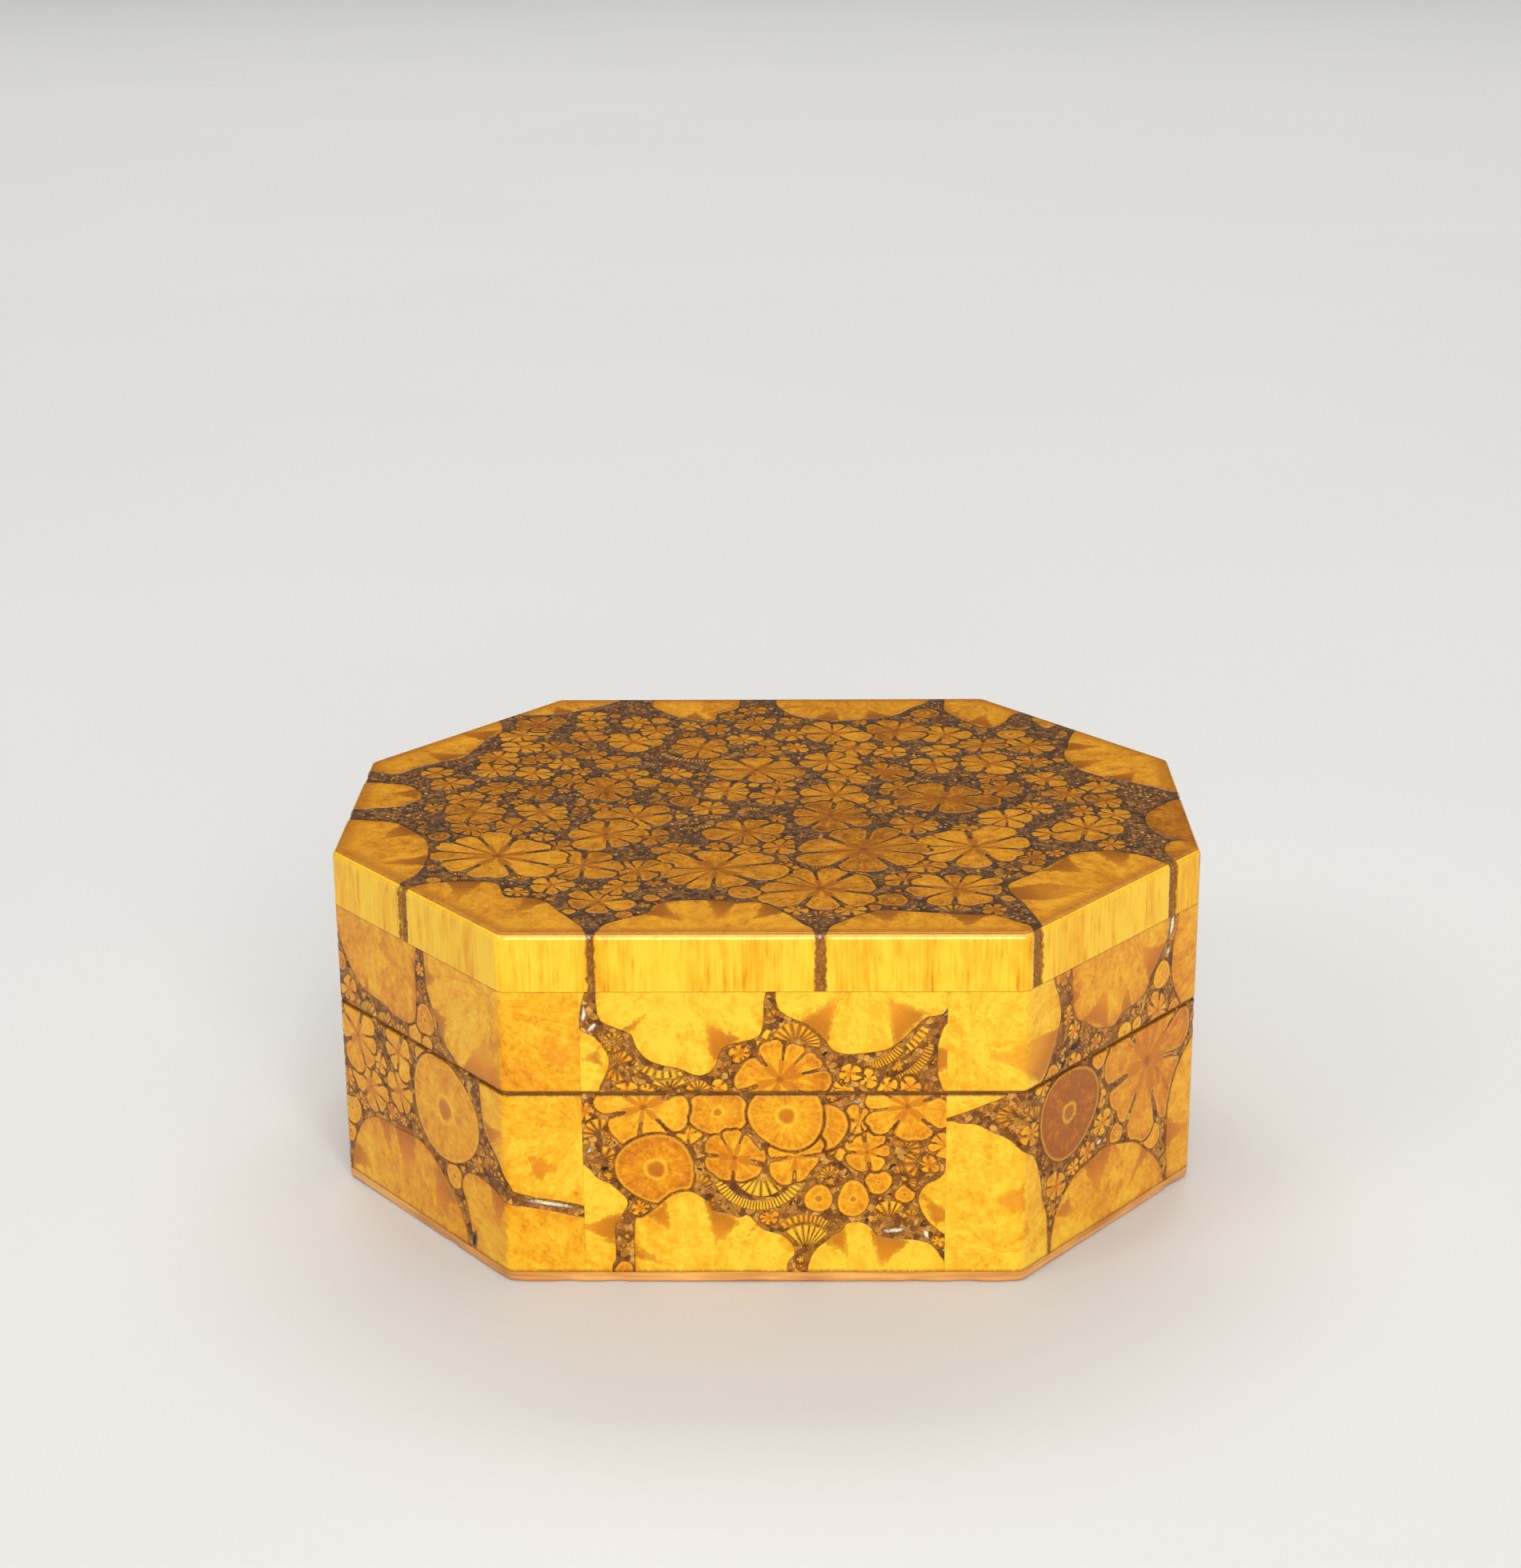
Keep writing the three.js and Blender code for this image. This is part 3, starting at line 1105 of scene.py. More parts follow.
def lay_grain(f):
    """Grain that runs out from the middle, soft mottling, and a tone for each petal or sector."""
    petal = f.maths("FLOORED_MODULO", f.maths("FLOOR", f.phase), f.count)
    petal_luck = f.luck(petal + f.seed * 7.3)
    bent = f.angle + (f.coarse - 0.5) * 1.2 + (f.rays - 0.5) * 0.12
    sector_luck = f.luck(f.maths("FLOOR", bent * 1.7 + f.seed * 3) + f.seed * 5.1)
    level = f.tone + (f.coarse - 0.5) * 0.7 + (f.rays - 0.5) * 0.65 + (f.blotch - 0.5) * 0.85
    level = level + (sector_luck - 0.5) * 0.26 * f.is_large
    level = level + (petal_luck - 0.5) * 0.2 * f.lobed * (1 - f.is_key)
    level = level + f.glow * 0.14 + (f.fine - 0.5) * 0.16
    f.colour = f.ramp(level, f.wood_stops)


print("dark rims are up to", rim_width, "mm wide")

# %% [markdown]
# ## Stains, dirt, painted shade and resin
# Bark has stained the wood beside it, in a star between the petals and in wedges that run in from the rim.
# Dirt with painted shade has darkened the walls' seam and foot, and varnish with a painted dark reflection
# the top's edge. Each could be a shader of its own in a mix, but then the varnish would be worked out many
# times. So each function below lays its colours over what is there.


# %% Stains
def lay_star(f):
    """The stained star between the petals."""
    petal_side = 1 - abs(f.part - 0.5) * 2
    star_reach = (1 - f.outward) ** 2.2 * 0.95 + 0.13
    ragged = petal_side + (f.fine - 0.5) * 0.35 + (f.rays - 0.5) * 0.5
    star = (ragged - star_reach).between(-0.12, 0.16, 1.0, 0.0) * f.lobed * (1 - f.is_key)
    f.lay(star * 0.75, f.shade(f.dart_colour, f.rays * 0.5 + f.blotch * 0.4 + 0.45))


def lay_darts(f):
    """Darts, soft within and darker along their edges."""
    jagged = f.wedge + (f.rays - 0.5) * 1.4 + (f.fine - 0.5) * 0.8 + (f.blotch - 0.5) * 0.8
    share = jagged.between(-0.35, 0.6, 0.0, 0.85) * f.depth.between(2.0, 11.0, 1.0, 0.4) * (1 - f.is_key)
    deeper = f.depth.between(0.0, 6.0, 0.74, 1.12)
    f.lay(share, f.shade(f.dart_colour, (f.rays * 0.6 + 0.5 + f.blotch * 0.4) * deeper))
    edge = abs(jagged - 0.05).between(0.0, 0.35, 0.32, 0.0) * f.depth.between(1.0, 8.0, 1.0, 0.2)
    f.lay(edge * (1 - f.is_key), f.shade(f.dart_colour, 0.62))


def lay_pith(f):
    """The pith with its pale ring, pores and specks, and the lines along the rim."""
    size = f.maths("FRACT", f.seed * 3.7) * 0.16 * (1 - f.lobed) + 0.07
    round_slice = (1 - f.is_large) * (1 - f.is_key)
    from_pith = f.outward + (f.rays - 0.5) * 0.12 - size
    pale_ring = abs(from_pith - 0.09).between(0.0, 0.07, 0.55, 0.0) * (1 - f.lobed)
    f.lay(pale_ring * round_slice, f.wood_stops[0][1])
    pith = from_pith.between(-0.03, 0.05, 1.0, 0.0)
    f.lay(pith * round_slice * 0.8, f.shade(f.dart_colour, f.lobed * -0.25 + 0.8))
    specks = f.noise(f.here, 2.6, 2.0).between(0.64, 0.72)
    pores = f.noise(f.place((0.7, 0.7, 2.6)), 1.5, 4.0, 0.7).between(0.56, 0.7)
    f.lay(f.maths("MAXIMUM", specks * 0.5, pores * 0.38), f.dart_colour)
    f.lay(f.pale_rim * 0.35, f.wood_stops[0][1])
    f.lay(f.dark_rim * (0.85 - f.is_key * 0.25), f.rim_colour)


print("stains are ready")


# %% Dirt and painted shade, resin and chips
def lay_wall_dirt_and_shade(f):
    """Dirt and painted shade darken the walls along the seam, the foot and the joint under the top."""
    _, _, z = f.parts(f.here)
    at_seam = abs(z - seam_middle + (f.fine - 0.5) * 0.3).between(0.2, 0.8, 0.9, 0.0)
    at_foot = (z - board_box[1].z + (f.fine - 0.5)).between(0.1, 0.8, 0.6, 0.0)
    at_band = (lid_box[0].z - z + (f.fine - 0.5) * 0.3).between(0.0, 0.4, 0.4, 0.0)
    # The dark colour laid here is partly dirt and partly painted shade in the seam's gap and at the joints.
    f.lay(f.maths("MAXIMUM", at_seam, f.maths("MAXIMUM", at_foot, at_band)), f.rim_colour)


def lay_edge_stain_and_dark_reflection(f):
    """Varnish stain and a painted dark reflection darken the top along its outer edge."""
    x, y, _ = f.parts(f.here)
    to_slant = slant_distance - abs(x) * float(slant[0]) - abs(y) * float(slant[1])
    to_edge = f.maths("MINIMUM", half_width - abs(x), half_depth - abs(y))
    to_edge = f.maths("MINIMUM", to_edge, to_slant) + (f.coarse - 0.5) * 3 + (f.fine - 0.5)
    # The dark band is partly varnish stain and partly a painted dark reflection of the rounded edge.
    f.lay(to_edge.between(1.4, 4.2, 0.55, 0.0), f.dart_colour)


def lay_resin(f, resin):
    """Resin with bark in it, wherever there is no wood."""
    cells = {"Vector": f.here, "Scale": 0.9}
    cell_tone, _, _ = f.parts(f.node("ShaderNodeTexVoronoi", {"feature": "F1"}, cells, "Color"))
    to_seam = f.node("ShaderNodeTexVoronoi", {"feature": "DISTANCE_TO_EDGE"}, cells)
    f.grit = f.noise(f.here, 3.2, 4.0, 0.65)
    murk = f.ramp(cell_tone * 0.55 + f.grit * 0.55 + (f.coarse - 0.5) * 0.6, resin)
    murk = f.mix(to_seam.between(0.02, 0.08, 0.45, 0.0), murk, resin[0][1])
    f.colour = f.mix(f.wood, murk, f.colour)


def lay_chips(f):
    """Pale chips and dark specks: the sort is 1 on a chip and 2 on a speck."""
    is_bit = f.is_chip.between(0.6, 0.9)
    is_pale = is_bit * f.is_chip.between(1.1, 1.4, 1.0, 0.0)
    tone = f.mix(is_pale, paint(38, 22, 12), f.shade(paint(236, 222, 190), f.fine * 0.5 + 0.7))
    f.lay(is_bit * f.wood, f.mix(f.dark_rim * 0.6, tone, f.rim_colour))


print("dirt, resin and chips are ready")

# %% [markdown]
# ## The slices' two finishes
# The walls are pale and golden, and the top is darker and browner. It is the same wood, so one function
# makes both finishes from two sets of colours. Only one step differs: there is dirt with painted shade along
# the walls' seam and foot, and darker varnish with a painted dark reflection round the top's edge.

# %% Slice finish
slice_bump = 0.16


def slice_finish(name, wood_stops, resin, rim_colour, dart_colour, lay_wear_and_shade, **gloss):
    """Slices in resin, as they show on a sawn face. The wear and painted shade are one of the two functions
    above.
    """
    f = SliceFinish(name, wood_stops, rim_colour, dart_colour)
    for step in (find_place, find_rims, lay_grain, lay_star, lay_darts, lay_pith, lay_wear_and_shade):
        step(f)
    lay_resin(f, resin)
    lay_chips(f)
    bare = 1 - f.wood
    roughness = f.fine * 0.16 + 0.18 + bare * 0.14
    height = f.wood * 0.5 - f.dark_rim * 0.35 + (f.grit - 0.5) * bare * 0.5
    height = height + (f.rays - 0.5) * 0.12 + f.fine * 0.1
    return f.varnish(f.colour, roughness, height, slice_bump, **gloss)


def stops(places, *colours):
    """Stops of a colour ramp."""
    return [(place, paint(*colour)) for place, colour in zip(places, colours)]


wood_places = (0.0, 0.36, 0.68, 1.0)
side_wood = stops(wood_places, (244, 196, 50), (230, 162, 20), (204, 120, 8), (158, 84, 6))
side_resin = stops((0.22, 0.46, 0.66, 0.86), (84, 46, 12), (134, 82, 26), (172, 112, 40), (212, 154, 64))
side_rim = paint(92, 46, 8)
side_dart = paint(198, 110, 8)
wall_name = "stem slices of the walls"
# The walls' last step lays dirt and painted shade along the seam, the foot and the joint under the top.
wall_slices = slice_finish(wall_name, side_wood, side_resin, side_rim, side_dart, lay_wall_dirt_and_shade)
print("finish", wall_slices.name, "has", len(wall_slices.node_tree.nodes), "nodes")

top_wood = stops(wood_places, (220, 154, 34), (194, 126, 22), (148, 86, 12), (96, 50, 8))
top_resin = stops((0.25, 0.5, 0.7, 0.9), (44, 24, 6), (80, 48, 12), (106, 66, 18), (146, 98, 34))
top_colours = top_wood, top_resin, paint(60, 30, 8), paint(150, 82, 14)
# The top's last step lays varnish stain and a painted dark reflection along its edge.
top_slices = slice_finish("stem slices of the top", *top_colours, lay_edge_stain_and_dark_reflection, coat=0.0, shine=0.16)

# %% [markdown]
# ## Long grain
# The top's band shows the same stems from the side, so its grain stands upright: fine streaks that barely
# change with height. It still reads the depth, because the resin between two stems runs down the band as
# a dark column.


# %% Band
def band_finish(name, wood_stops, resin, rim_colour):
    """Stems seen from the side: upright streaks, with columns of resin between stems."""
    f = Finish(name)
    _, _, depth = f.parts(f.attribute("stem"))
    _, _, tone = f.parts(f.attribute("mark"))
    wedge = f.attribute("wedge", "Fac")
    streaks = f.noise(f.place((1, 1, 0.05)), 1.9, 4.0, 0.65)
    broad = f.noise(f.place((1, 1, 0.03)), 0.16, 2.0)
    fine = f.noise(f.place((1, 1, 1)), 1.7, 3.0)
    patchy = f.noise(f.place((1, 1, 0.4)), 0.5, 3.0)
    ragged = depth + (f.noise(f.place((1, 1, 1)), 0.9, 3.0) - 0.5) * 1.3
    wood = ragged.between(-0.15, 0.1)
    level = tone * 0.5 + (streaks - 0.5) * 1.1 + (broad - 0.5) * 0.8 + (patchy - 0.5) * 0.6 + 0.06
    colour = f.ramp(level, wood_stops)
    colour = f.mix((streaks * 0.6 + patchy * 0.4).between(0.56, 0.66) * 0.4, colour, side_dart)
    colour = f.mix((wedge + (streaks - 0.5) * 3).between(-0.1, 0.3) * 0.35, colour, side_dart)
    colour = f.mix(ragged.between(0.0, 0.45, 0.8, 0.0), colour, rim_colour)
    grit = f.noise(f.place((1, 1, 0.6)), 2.4, 4.0, 0.65)
    colour = f.mix(wood, f.ramp(grit, resin), colour)
    height = wood * 0.6 + (streaks - 0.5) * 0.35 + (grit - 0.5) * (1 - wood)

    # Hands' polish has made the rounding along the top glossier, and its paler colour
    # there is partly wear and partly a painted highlight
    round_foot = lid_box[1].z - top_round
    _, _, pz = f.parts(f.place((1, 1, 1)))
    polish_and_highlight = (pz + (fine - 0.5) * 0.4).between(round_foot - 0.1, round_foot + 0.4)
    colour = f.mix(polish_and_highlight * wood * 0.35, colour, wood_stops[0][1])
    return f.varnish(colour, fine * 0.16 + 0.16, height, 0.12, coat=polish_and_highlight)


band = band_finish("long grain of the top's edge", side_wood, side_resin, side_rim)
print("finish", band.name, "has", len(band.node_tree.nodes), "nodes")

# %% [markdown]
# ## Plain sawn wood
# The inside doesn't show, and of the thin board only its edge does, so both are plain sawn wood. They could
# share one finish, but the board's edge is bright in the picture, and the inside is a little darker, as
# painted shade. So a function makes two from two pairs of colours.


# %% Inner faces and board
def plain_finish(name, light, dark, scale):
    """Plain sawn wood with streaks along the board."""
    f = Finish(name)
    along = f.place(scale)
    streaks = f.noise(along, 1.0, 4.0, 0.6)
    fine = f.noise(along, 5.0, 3.0, 0.6)
    blotches = f.noise(f.place((1, 1, 1)), 0.09, 2.0)
    share = streaks.between(0.3, 0.7) * 0.7 + blotches.between(0.35, 0.65) * 0.3
    colour = f.shade(f.mix(share, light, dark), fine * 0.4 + 0.8)
    return f.varnish(colour, fine * 0.2 + 0.32, streaks * 0.6 + fine * 0.5, 0.06, coat=0.1)


# The faces inside the box get darker colours than the board: painted shade.
shaded_inner_faces = plain_finish("inner faces", paint(222, 172, 96), paint(178, 118, 52), (0.3, 0.3, 0.5))
board_wood = plain_finish("bottom board", paint(244, 182, 100), paint(190, 118, 56), (0.05, 0.05, 1.4))
print("two plain finishes:", shaded_inner_faces.name, "and", board_wood.name)

# %% [markdown]
# ## Laying out the front
# These are the slices that catch the eye on the front: flowers, plain rounds, the big ones along the
# edges, and the little fans of bark between them. Places are in millimetres, to the right from the middle
# and up from the ground. The saw took a few millimetres between base and lid, so each has its own list.

# %% Front of the base
base_front = [
    large([(-33, 24), (-29, 20.5), (-27, 19.5), (-24.5, 17), (-24, 15.5), (-25, 13.5), (-26.3, 11),
           (-26.3, 5), (-27, 2.5)], [(-27, -8), (-45, -8), (-45, 26)], (-46, 12), 0.12),
    large([(-23, 1), (-23, 12), (-21.5, 13), (-19, 15), (-16, 17.5), (-13, 18), (-10.5, 16.5), (-9, 14.4),
           (-6.5, 13.7), (-4.5, 13), (-3, 13.5), (-1.5, 12), (0, 10.5), (3, 9.5), (5, 7.5), (5.3, 5.5),
           (4, 3)], [(3.4, -8), (-22, -8)], (-9, -6), 0.1),
    large([(7.3, 1), (8.5, 6), (11, 8.5), (13.5, 10.5), (14.5, 11.8), (17, 12), (18.8, 11), (20, 9.5),
           (23, 8.8), (27, 8.5), (29.5, 7.5), (31, 5.5), (32, 3)], [(33, -8), (8, -8)], (19, -7), 0.12),
    large([(37, 1), (34, 8), (31, 10), (28.5, 12.5), (27, 16), (28, 19), (31, 21), (33.5, 24.5)],
          [(46, 24), (48, 4)], (46, 14), 0.15),
    plain(-19, 22.4, 6.4, 0.62, 0.95),
    flower(-21, 34.2, 7.6, 7, 0.4),
    flower(25, 34.4, 6.8, 6, 0.42),
    plain(4, 32.6, 6.1, 0.45, 0.95),
    flower(5.4, 24.8, 4.7, 5, 0.5, 0.14),
    plain(11, 30.6, 3.2, 0.5, 1.3),
    flower(-5.2, 24.6, 5.4, 5, 0.55, 0.13, 0.85),
    plain(-8, 33.2, 5.2, 0.5, 0.75),
    flower(-13.2, 29.2, 2.4, 4, 0.3),
    fan(-0.5, 22, 5, 196, 344, 0.05),
    key_band(-1, 22.8, 6.6, 8.5, 202, 338, 0.05),
    fan(7.2, 6.3, 5.2, 38, 142, 0.15),
    key_band(7.2, 6.3, 5.6, 7.2, 52, 132, 0.3),
    plain(9.5, 16.6, 2.3, 0.4, 1.1),
    plain(15.6, 16.5, 2.6, 0.42, 1.25),
    flower(18, 25.6, 3.9, 5, 0.5),
    plain(20, 19.8, 2.2, 0.5),
    flower(13, 26.6, 2.2, 4, 0.35),
    flower(16.6, 31.6, 2.6, 5, 0.45),
    fan(22, 12.6, 3.6, 40, 140, 0.3),
    key_band(-12, 18.4, 1.6, 3.1, 20, 170, 0.3),
    fan(-28.6, 29, 3.2, 60, 200, 0.5),
    fan(-28, 24.4, 2.4, -60, 110, 0.45),
    fan(24.6, 26, 2.8, -20, 150, 0.55),
    fan(27.4, 23.6, 3, 100, 260, 0.5),
    key_band(24, 20.2, 1.4, 2.8, -40, 120, 0.4),
    fan(11.6, 21, 2, 20, 200, 0.4),
    fan(-24.6, 8.4, 1.4, 200, 340, 0.4),
    chip(-15, 30.8, 1.8, 0.9, 40),
    chip(16, 35.2, 1.6, 0.8, 10),
    chip(23, 10.4, 4.2, 0.9, 8),
    chip(28.5, 9.6, 1.6, 1.2, -50),
    chip(32, 6.6, 1.3, 0.9, 30),
    chip(-28, 22.5, 1.4, 0.9, 20, "speck"),
    chip(-30.6, 26, 1.3, 0.8, 70),
    chip(22.4, 22.8, 1.6, 0.8, 50, "speck"),
]
base_front_darts = [
    dart((-25.2, 14), (-26.6, 7.6), (-32.4, 11)),
    dart((-20.4, 13.2), (-17.3, 16), (-16.7, 10.6)),
    dart((-10.6, 16), (-4.4, 12), (-8.5, 7.6)),
    dart((-2.6, 10.2), (-0.6, 12.6), (-3.4, 8.4)),
    dart((-23.4, 7.6), (-23.4, 5.4), (-17.2, 3.4)),
    dart((11, 8), (14, 11.4), (14.6, 5.6)),
    dart((18.6, 11.4), (25.6, 8.2), (20.3, 3)),
    dart((30, 11.4), (27.6, 17.6), (33.6, 13.4)),
]
print("front of the base:", len(base_front), "slices")

# %% [markdown]
# ## The front of the lid
# In the lid the big slices hang from the upper edge, and flowers and bands of ringed bark lie between them.
# A rule could scatter these, but no other face shows as well in the picture. So they are listed one by one.

# %% Front of the lid
lid_front = [
    large([(-31.2, 58), (-31.4, 53), (-31.7, 49.3), (-29, 47.5), (-27, 44.5), (-26.8, 42), (-28.3, 38.4),
           (-30, 36)], [(-42, 34), (-42, 58)], (-46, 48), 0.12),
    large([(-28.8, 58), (-28.8, 53), (-28, 50.5), (-25, 49), (-23, 48), (-22, 45.5), (-20, 43.2), (-17, 42),
           (-14.5, 41.5), (-12, 40.3), (-10, 40.5), (-8.3, 42), (-7.5, 44.5), (-6, 46), (-3, 46.8),
           (-1, 47.5), (0, 49.5), (0.2, 54)], [(0.3, 66), (-28, 66)], (-14, 60), 0.08),
    large([(2.2, 58), (2.3, 53.5), (4, 51.5), (6, 50.5), (8, 49.5), (10.5, 47), (12, 45), (14.5, 44.2),
           (18, 44.5), (21, 45), (23.5, 46.5), (25.5, 48.5), (28, 51), (30, 51.5), (31.5, 52.4), (33, 57)],
           [(33, 66), (3, 66)], (17, 60), 0.1),
    large([(33, 51), (30.4, 47.5), (30, 43), (30.5, 39), (33, 36)], [(44, 34), (44, 52)], (46, 44), 0.14),
    flower(2.8, 39.6, 7.6, 7, 0.5, 0.2, 0.85),
    fan(5.6, 46.2, 4.3, -10, 165, 0.4),
    flower(0.6, 47, 1.8, 4, 0.2),
    key_band(-26, 46.6, 0.6, 1.9, 0, 330, 0.35),
    fan(-25.4, 42.2, 3.1, 20, 300, 0.45),
    key_band(-22.8, 41.9, 0.4, 1.4, -80, 100, 0.1),
    key_band(-17, 46.6, 5.4, 7, 232, 300, 0.12),
    fan(-16.4, 37.6, 3.2, 20, 165, 0.25),
    flower(-23.8, 37.4, 2.1, 5, 0.35),
    flower(-20.4, 37.4, 1.5, 4, 0.4),
    fan(-11.4, 37.2, 2.3, 10, 170, 0.4),
    flower(-7.8, 38, 1.7, 4, 0.35),
    flower(15, 40.8, 1.9, 5, 0.35),
    flower(18.2, 39.6, 1.7, 4, 0.3),
    flower(14, 37.8, 1.9, 5, 0.4),
    flower(21.4, 38.2, 1.8, 5, 0.35),
    flower(25.4, 38, 2.1, 5, 0.4),
    key_band(17, 50, 7.2, 8.9, 272, 328, 0.3),
    key_band(17.5, 54.5, 10.8, 12.6, 298, 334, 0.2),
    key_band(20, 48, 8.2, 9.9, 290, 345, 0.4),
    fan(28.2, 41.8, 2.6, 70, 250, 0.6),
    fan(12.2, 42.6, 1.5, 60, 200, 0.5),
    fan(-8.6, 40.2, 1.2, 0, 180, 0.4),
    chip(-31, 52, 2.8, 1.2, 95),
    chip(-29.6, 49.4, 1.9, 1.1, 60),
    chip(32, 52.8, 2.6, 1.6, 70),
    chip(-24.6, 39.6, 1.2, 0.6, 20, "speck"),
    chip(10.6, 44.4, 1.2, 0.6, 40, "speck"),
]
lid_front_darts = [
    dart((-25.4, 48.4), (-22.6, 48.8), (-19.8, 52.4)),
    dart((-8.6, 43), (-4.2, 47.4), (-10.5, 50.4)),
    dart((5.4, 50), (11.2, 46.4), (12.6, 54.8)),
    dart((22.6, 46), (28.4, 52), (21.4, 54.6)),
    dart((-28, 42.4), (-28.6, 45.4), (-31.4, 43.4)),
    dart((28.2, 40), (29.2, 46), (36, 44)),
]
print("front of the lid:", len(lid_front), "slices")

# %% [markdown]
# ## The slanting faces beside the front
# On the slanting slabs the places run from the middle of the slanting face, to the right as you face it.
# Past its two corners the same slab shows on the straight faces, sawn off at a slant, so there the slices
# look stretched. One helper turns a place on the front face into a place on the slab's own pattern.


# %% Right slab
def round_corner(x):
    """How far out on a slanting slab's pattern a place on the front face lies."""
    return chamfer_half + (front_face / 2 - abs(x)) * abs(faces[1].along[0])


base_right = [
    large([(-round_corner(31), 31.6), (-round_corner(34.5), 31.2), (-round_corner(37), 31),
           (-round_corner(40), 29.5), (-round_corner(43), 28), (-27.2, 25.8), (-24, 23.6), (-22, 19),
           (-21, 14), (-19.6, 10), (-19.2, 5), (-19, 1)], [(-19, -8), (-44, -8), (-44, 30)], (-30, 6), 0.14),
    large([(-38, 31.6), (-round_corner(33.5), 32.6), (-round_corner(38), 34.4), (-round_corner(42), 36.2),
           (-28.6, 38)], [(-30, 46), (-44, 46), (-44, 34)], (-42, 40), 0.1),
    large([(-18.5, 1), (-17.5, 8), (-15, 12), (-11, 15), (-7, 16), (-2, 17), (1, 16.5), (5, 15.5), (9, 14),
           (12, 11.5), (15, 9), (17.5, 6), (18.5, 3)], [(18.8, -8), (-18.8, -8)], (0, -8), 0.4),
    large([(19.8, 1), (19, 15), (20.5, 22), (23, 26), (27, 29.5), (30, 33), (36, 34.5), (42, 34)],
          [(48, 30), (48, -8), (20, -8)], (38, 8), 0.44),
    plain(-13.5, 28.3, 8.1, 0.98),
    flower(11.4, 29.6, 13.4, 8, 0.6, 0.2, 0.95),
    plain(14, 13.4, 2.7, 0.4, 0.9),
    flower(-3.6, 27.4, 2, 4, 0.5),
    fan(-24.2, 30.4, 2.9, 20, 160, 0.5),
    fan(-20.2, 21.6, 1.6, 20, 200, 0.5),
    key_band(-28, 32.4, 1.2, 2.4, 90, 250, 0.5),
    chip(-3.6, 18.8, 1.6, 1.1, 30),
    chip(-18.6, 18.4, 1.2, 0.7, 30, "speck"),
]
base_right_darts = [
    dart((-26.4, 13.4), (-26.4, 19.4), (-round_corner(39.5), 16.2)),
    dart((-16.6, 9), (-13, 12), (-11.4, 6.8)),
    dart((-8.6, 16), (0.4, 17), (-3.5, 8)),
    dart((11.4, 12.6), (13.4, 10.8), (5, 4)),
    dart((19, 9), (19.2, 15), (27, 11)),
]
lid_right = [
    large([(-19.4, 58), (-18.8, 54.5), (-17.5, 52), (-16.8, 48), (-18, 44), (-20, 40), (-22, 37.5),
           (-25, 36)], [(-30, 32), (-44, 34), (-44, 60), (-20, 64)], (-34, 46), 0.16),
    large([(-14, 58), (-13.5, 52), (-13, 48), (-11.5, 45.5), (-9, 44), (-6, 42), (-3, 41), (0, 40.5),
           (3, 42), (7, 42.5), (10, 43.5), (11.5, 46), (14, 48.5), (15.5, 50.5), (17, 52.4), (17.6, 57)],
           [(17.6, 66), (-14, 66)], (2, 61), 0.44),
    large([(20.4, 58), (20, 54), (18.9, 50), (18.7, 45), (20, 41), (22, 38), (23, 35)],
          [(26, 30), (48, 30), (48, 64), (20.6, 66)], (38, 48), 0.44),
    chip(18.2, 54.2, 3.4, 1.6, 88),
    chip(17.2, 49.4, 1.8, 1, 80),
    plain(15.4, 45.4, 2.5, 0.4),
    plain(3.6, 38, 1.9, 0.35),
    plain(7.6, 38.2, 1.4, 0.4),
    flower(14.4, 38.7, 4.6, 7, 0.45, 0.2, 0.55),
    chip(-12.6, 40.6, 2.2, 1.3, 10, "speck"),
    chip(-15.8, 38.4, 1.8, 1.1, 60, "speck"),
    fan(-9.6, 39, 2, 0, 170, 0.8),
    fan(-16.6, 41.6, 1.6, 40, 220, 0.8),
    key_band(-2, 38, 1, 2, 20, 170, 0.6),
]
lid_right_darts = [
    dart((-round_corner(38.5), 43.8), (-27.2, 46.6), (-17.4, 46), (-20.4, 39.6), (-23, 37.4), (-27.2, 40.6)),
    dart((-13.6, 48.6), (-13.4, 51.6), (-11.2, 50.2)),
    dart((-9.6, 45), (-1.8, 40.6), (-2.8, 48.4)),
    dart((1.6, 41), (6.2, 42), (3.8, 47)),
    dart((11.2, 45.4), (16.2, 51.2), (7.6, 53)),
    dart((-25.6, 48.8), (-23.8, 48.8), (-24.4, 50.6)),
]
print("right slab:", len(base_right) + len(lid_right), "slices")

# %% [markdown]
# ## The left slanting face
# Here the slab's right end is the one that shows on the front face. A large slice lies along the foot, and
# another hangs from the top in the lid, as on the real slab. A mirrored right slab would be less work, but
# the two real ones don't match.

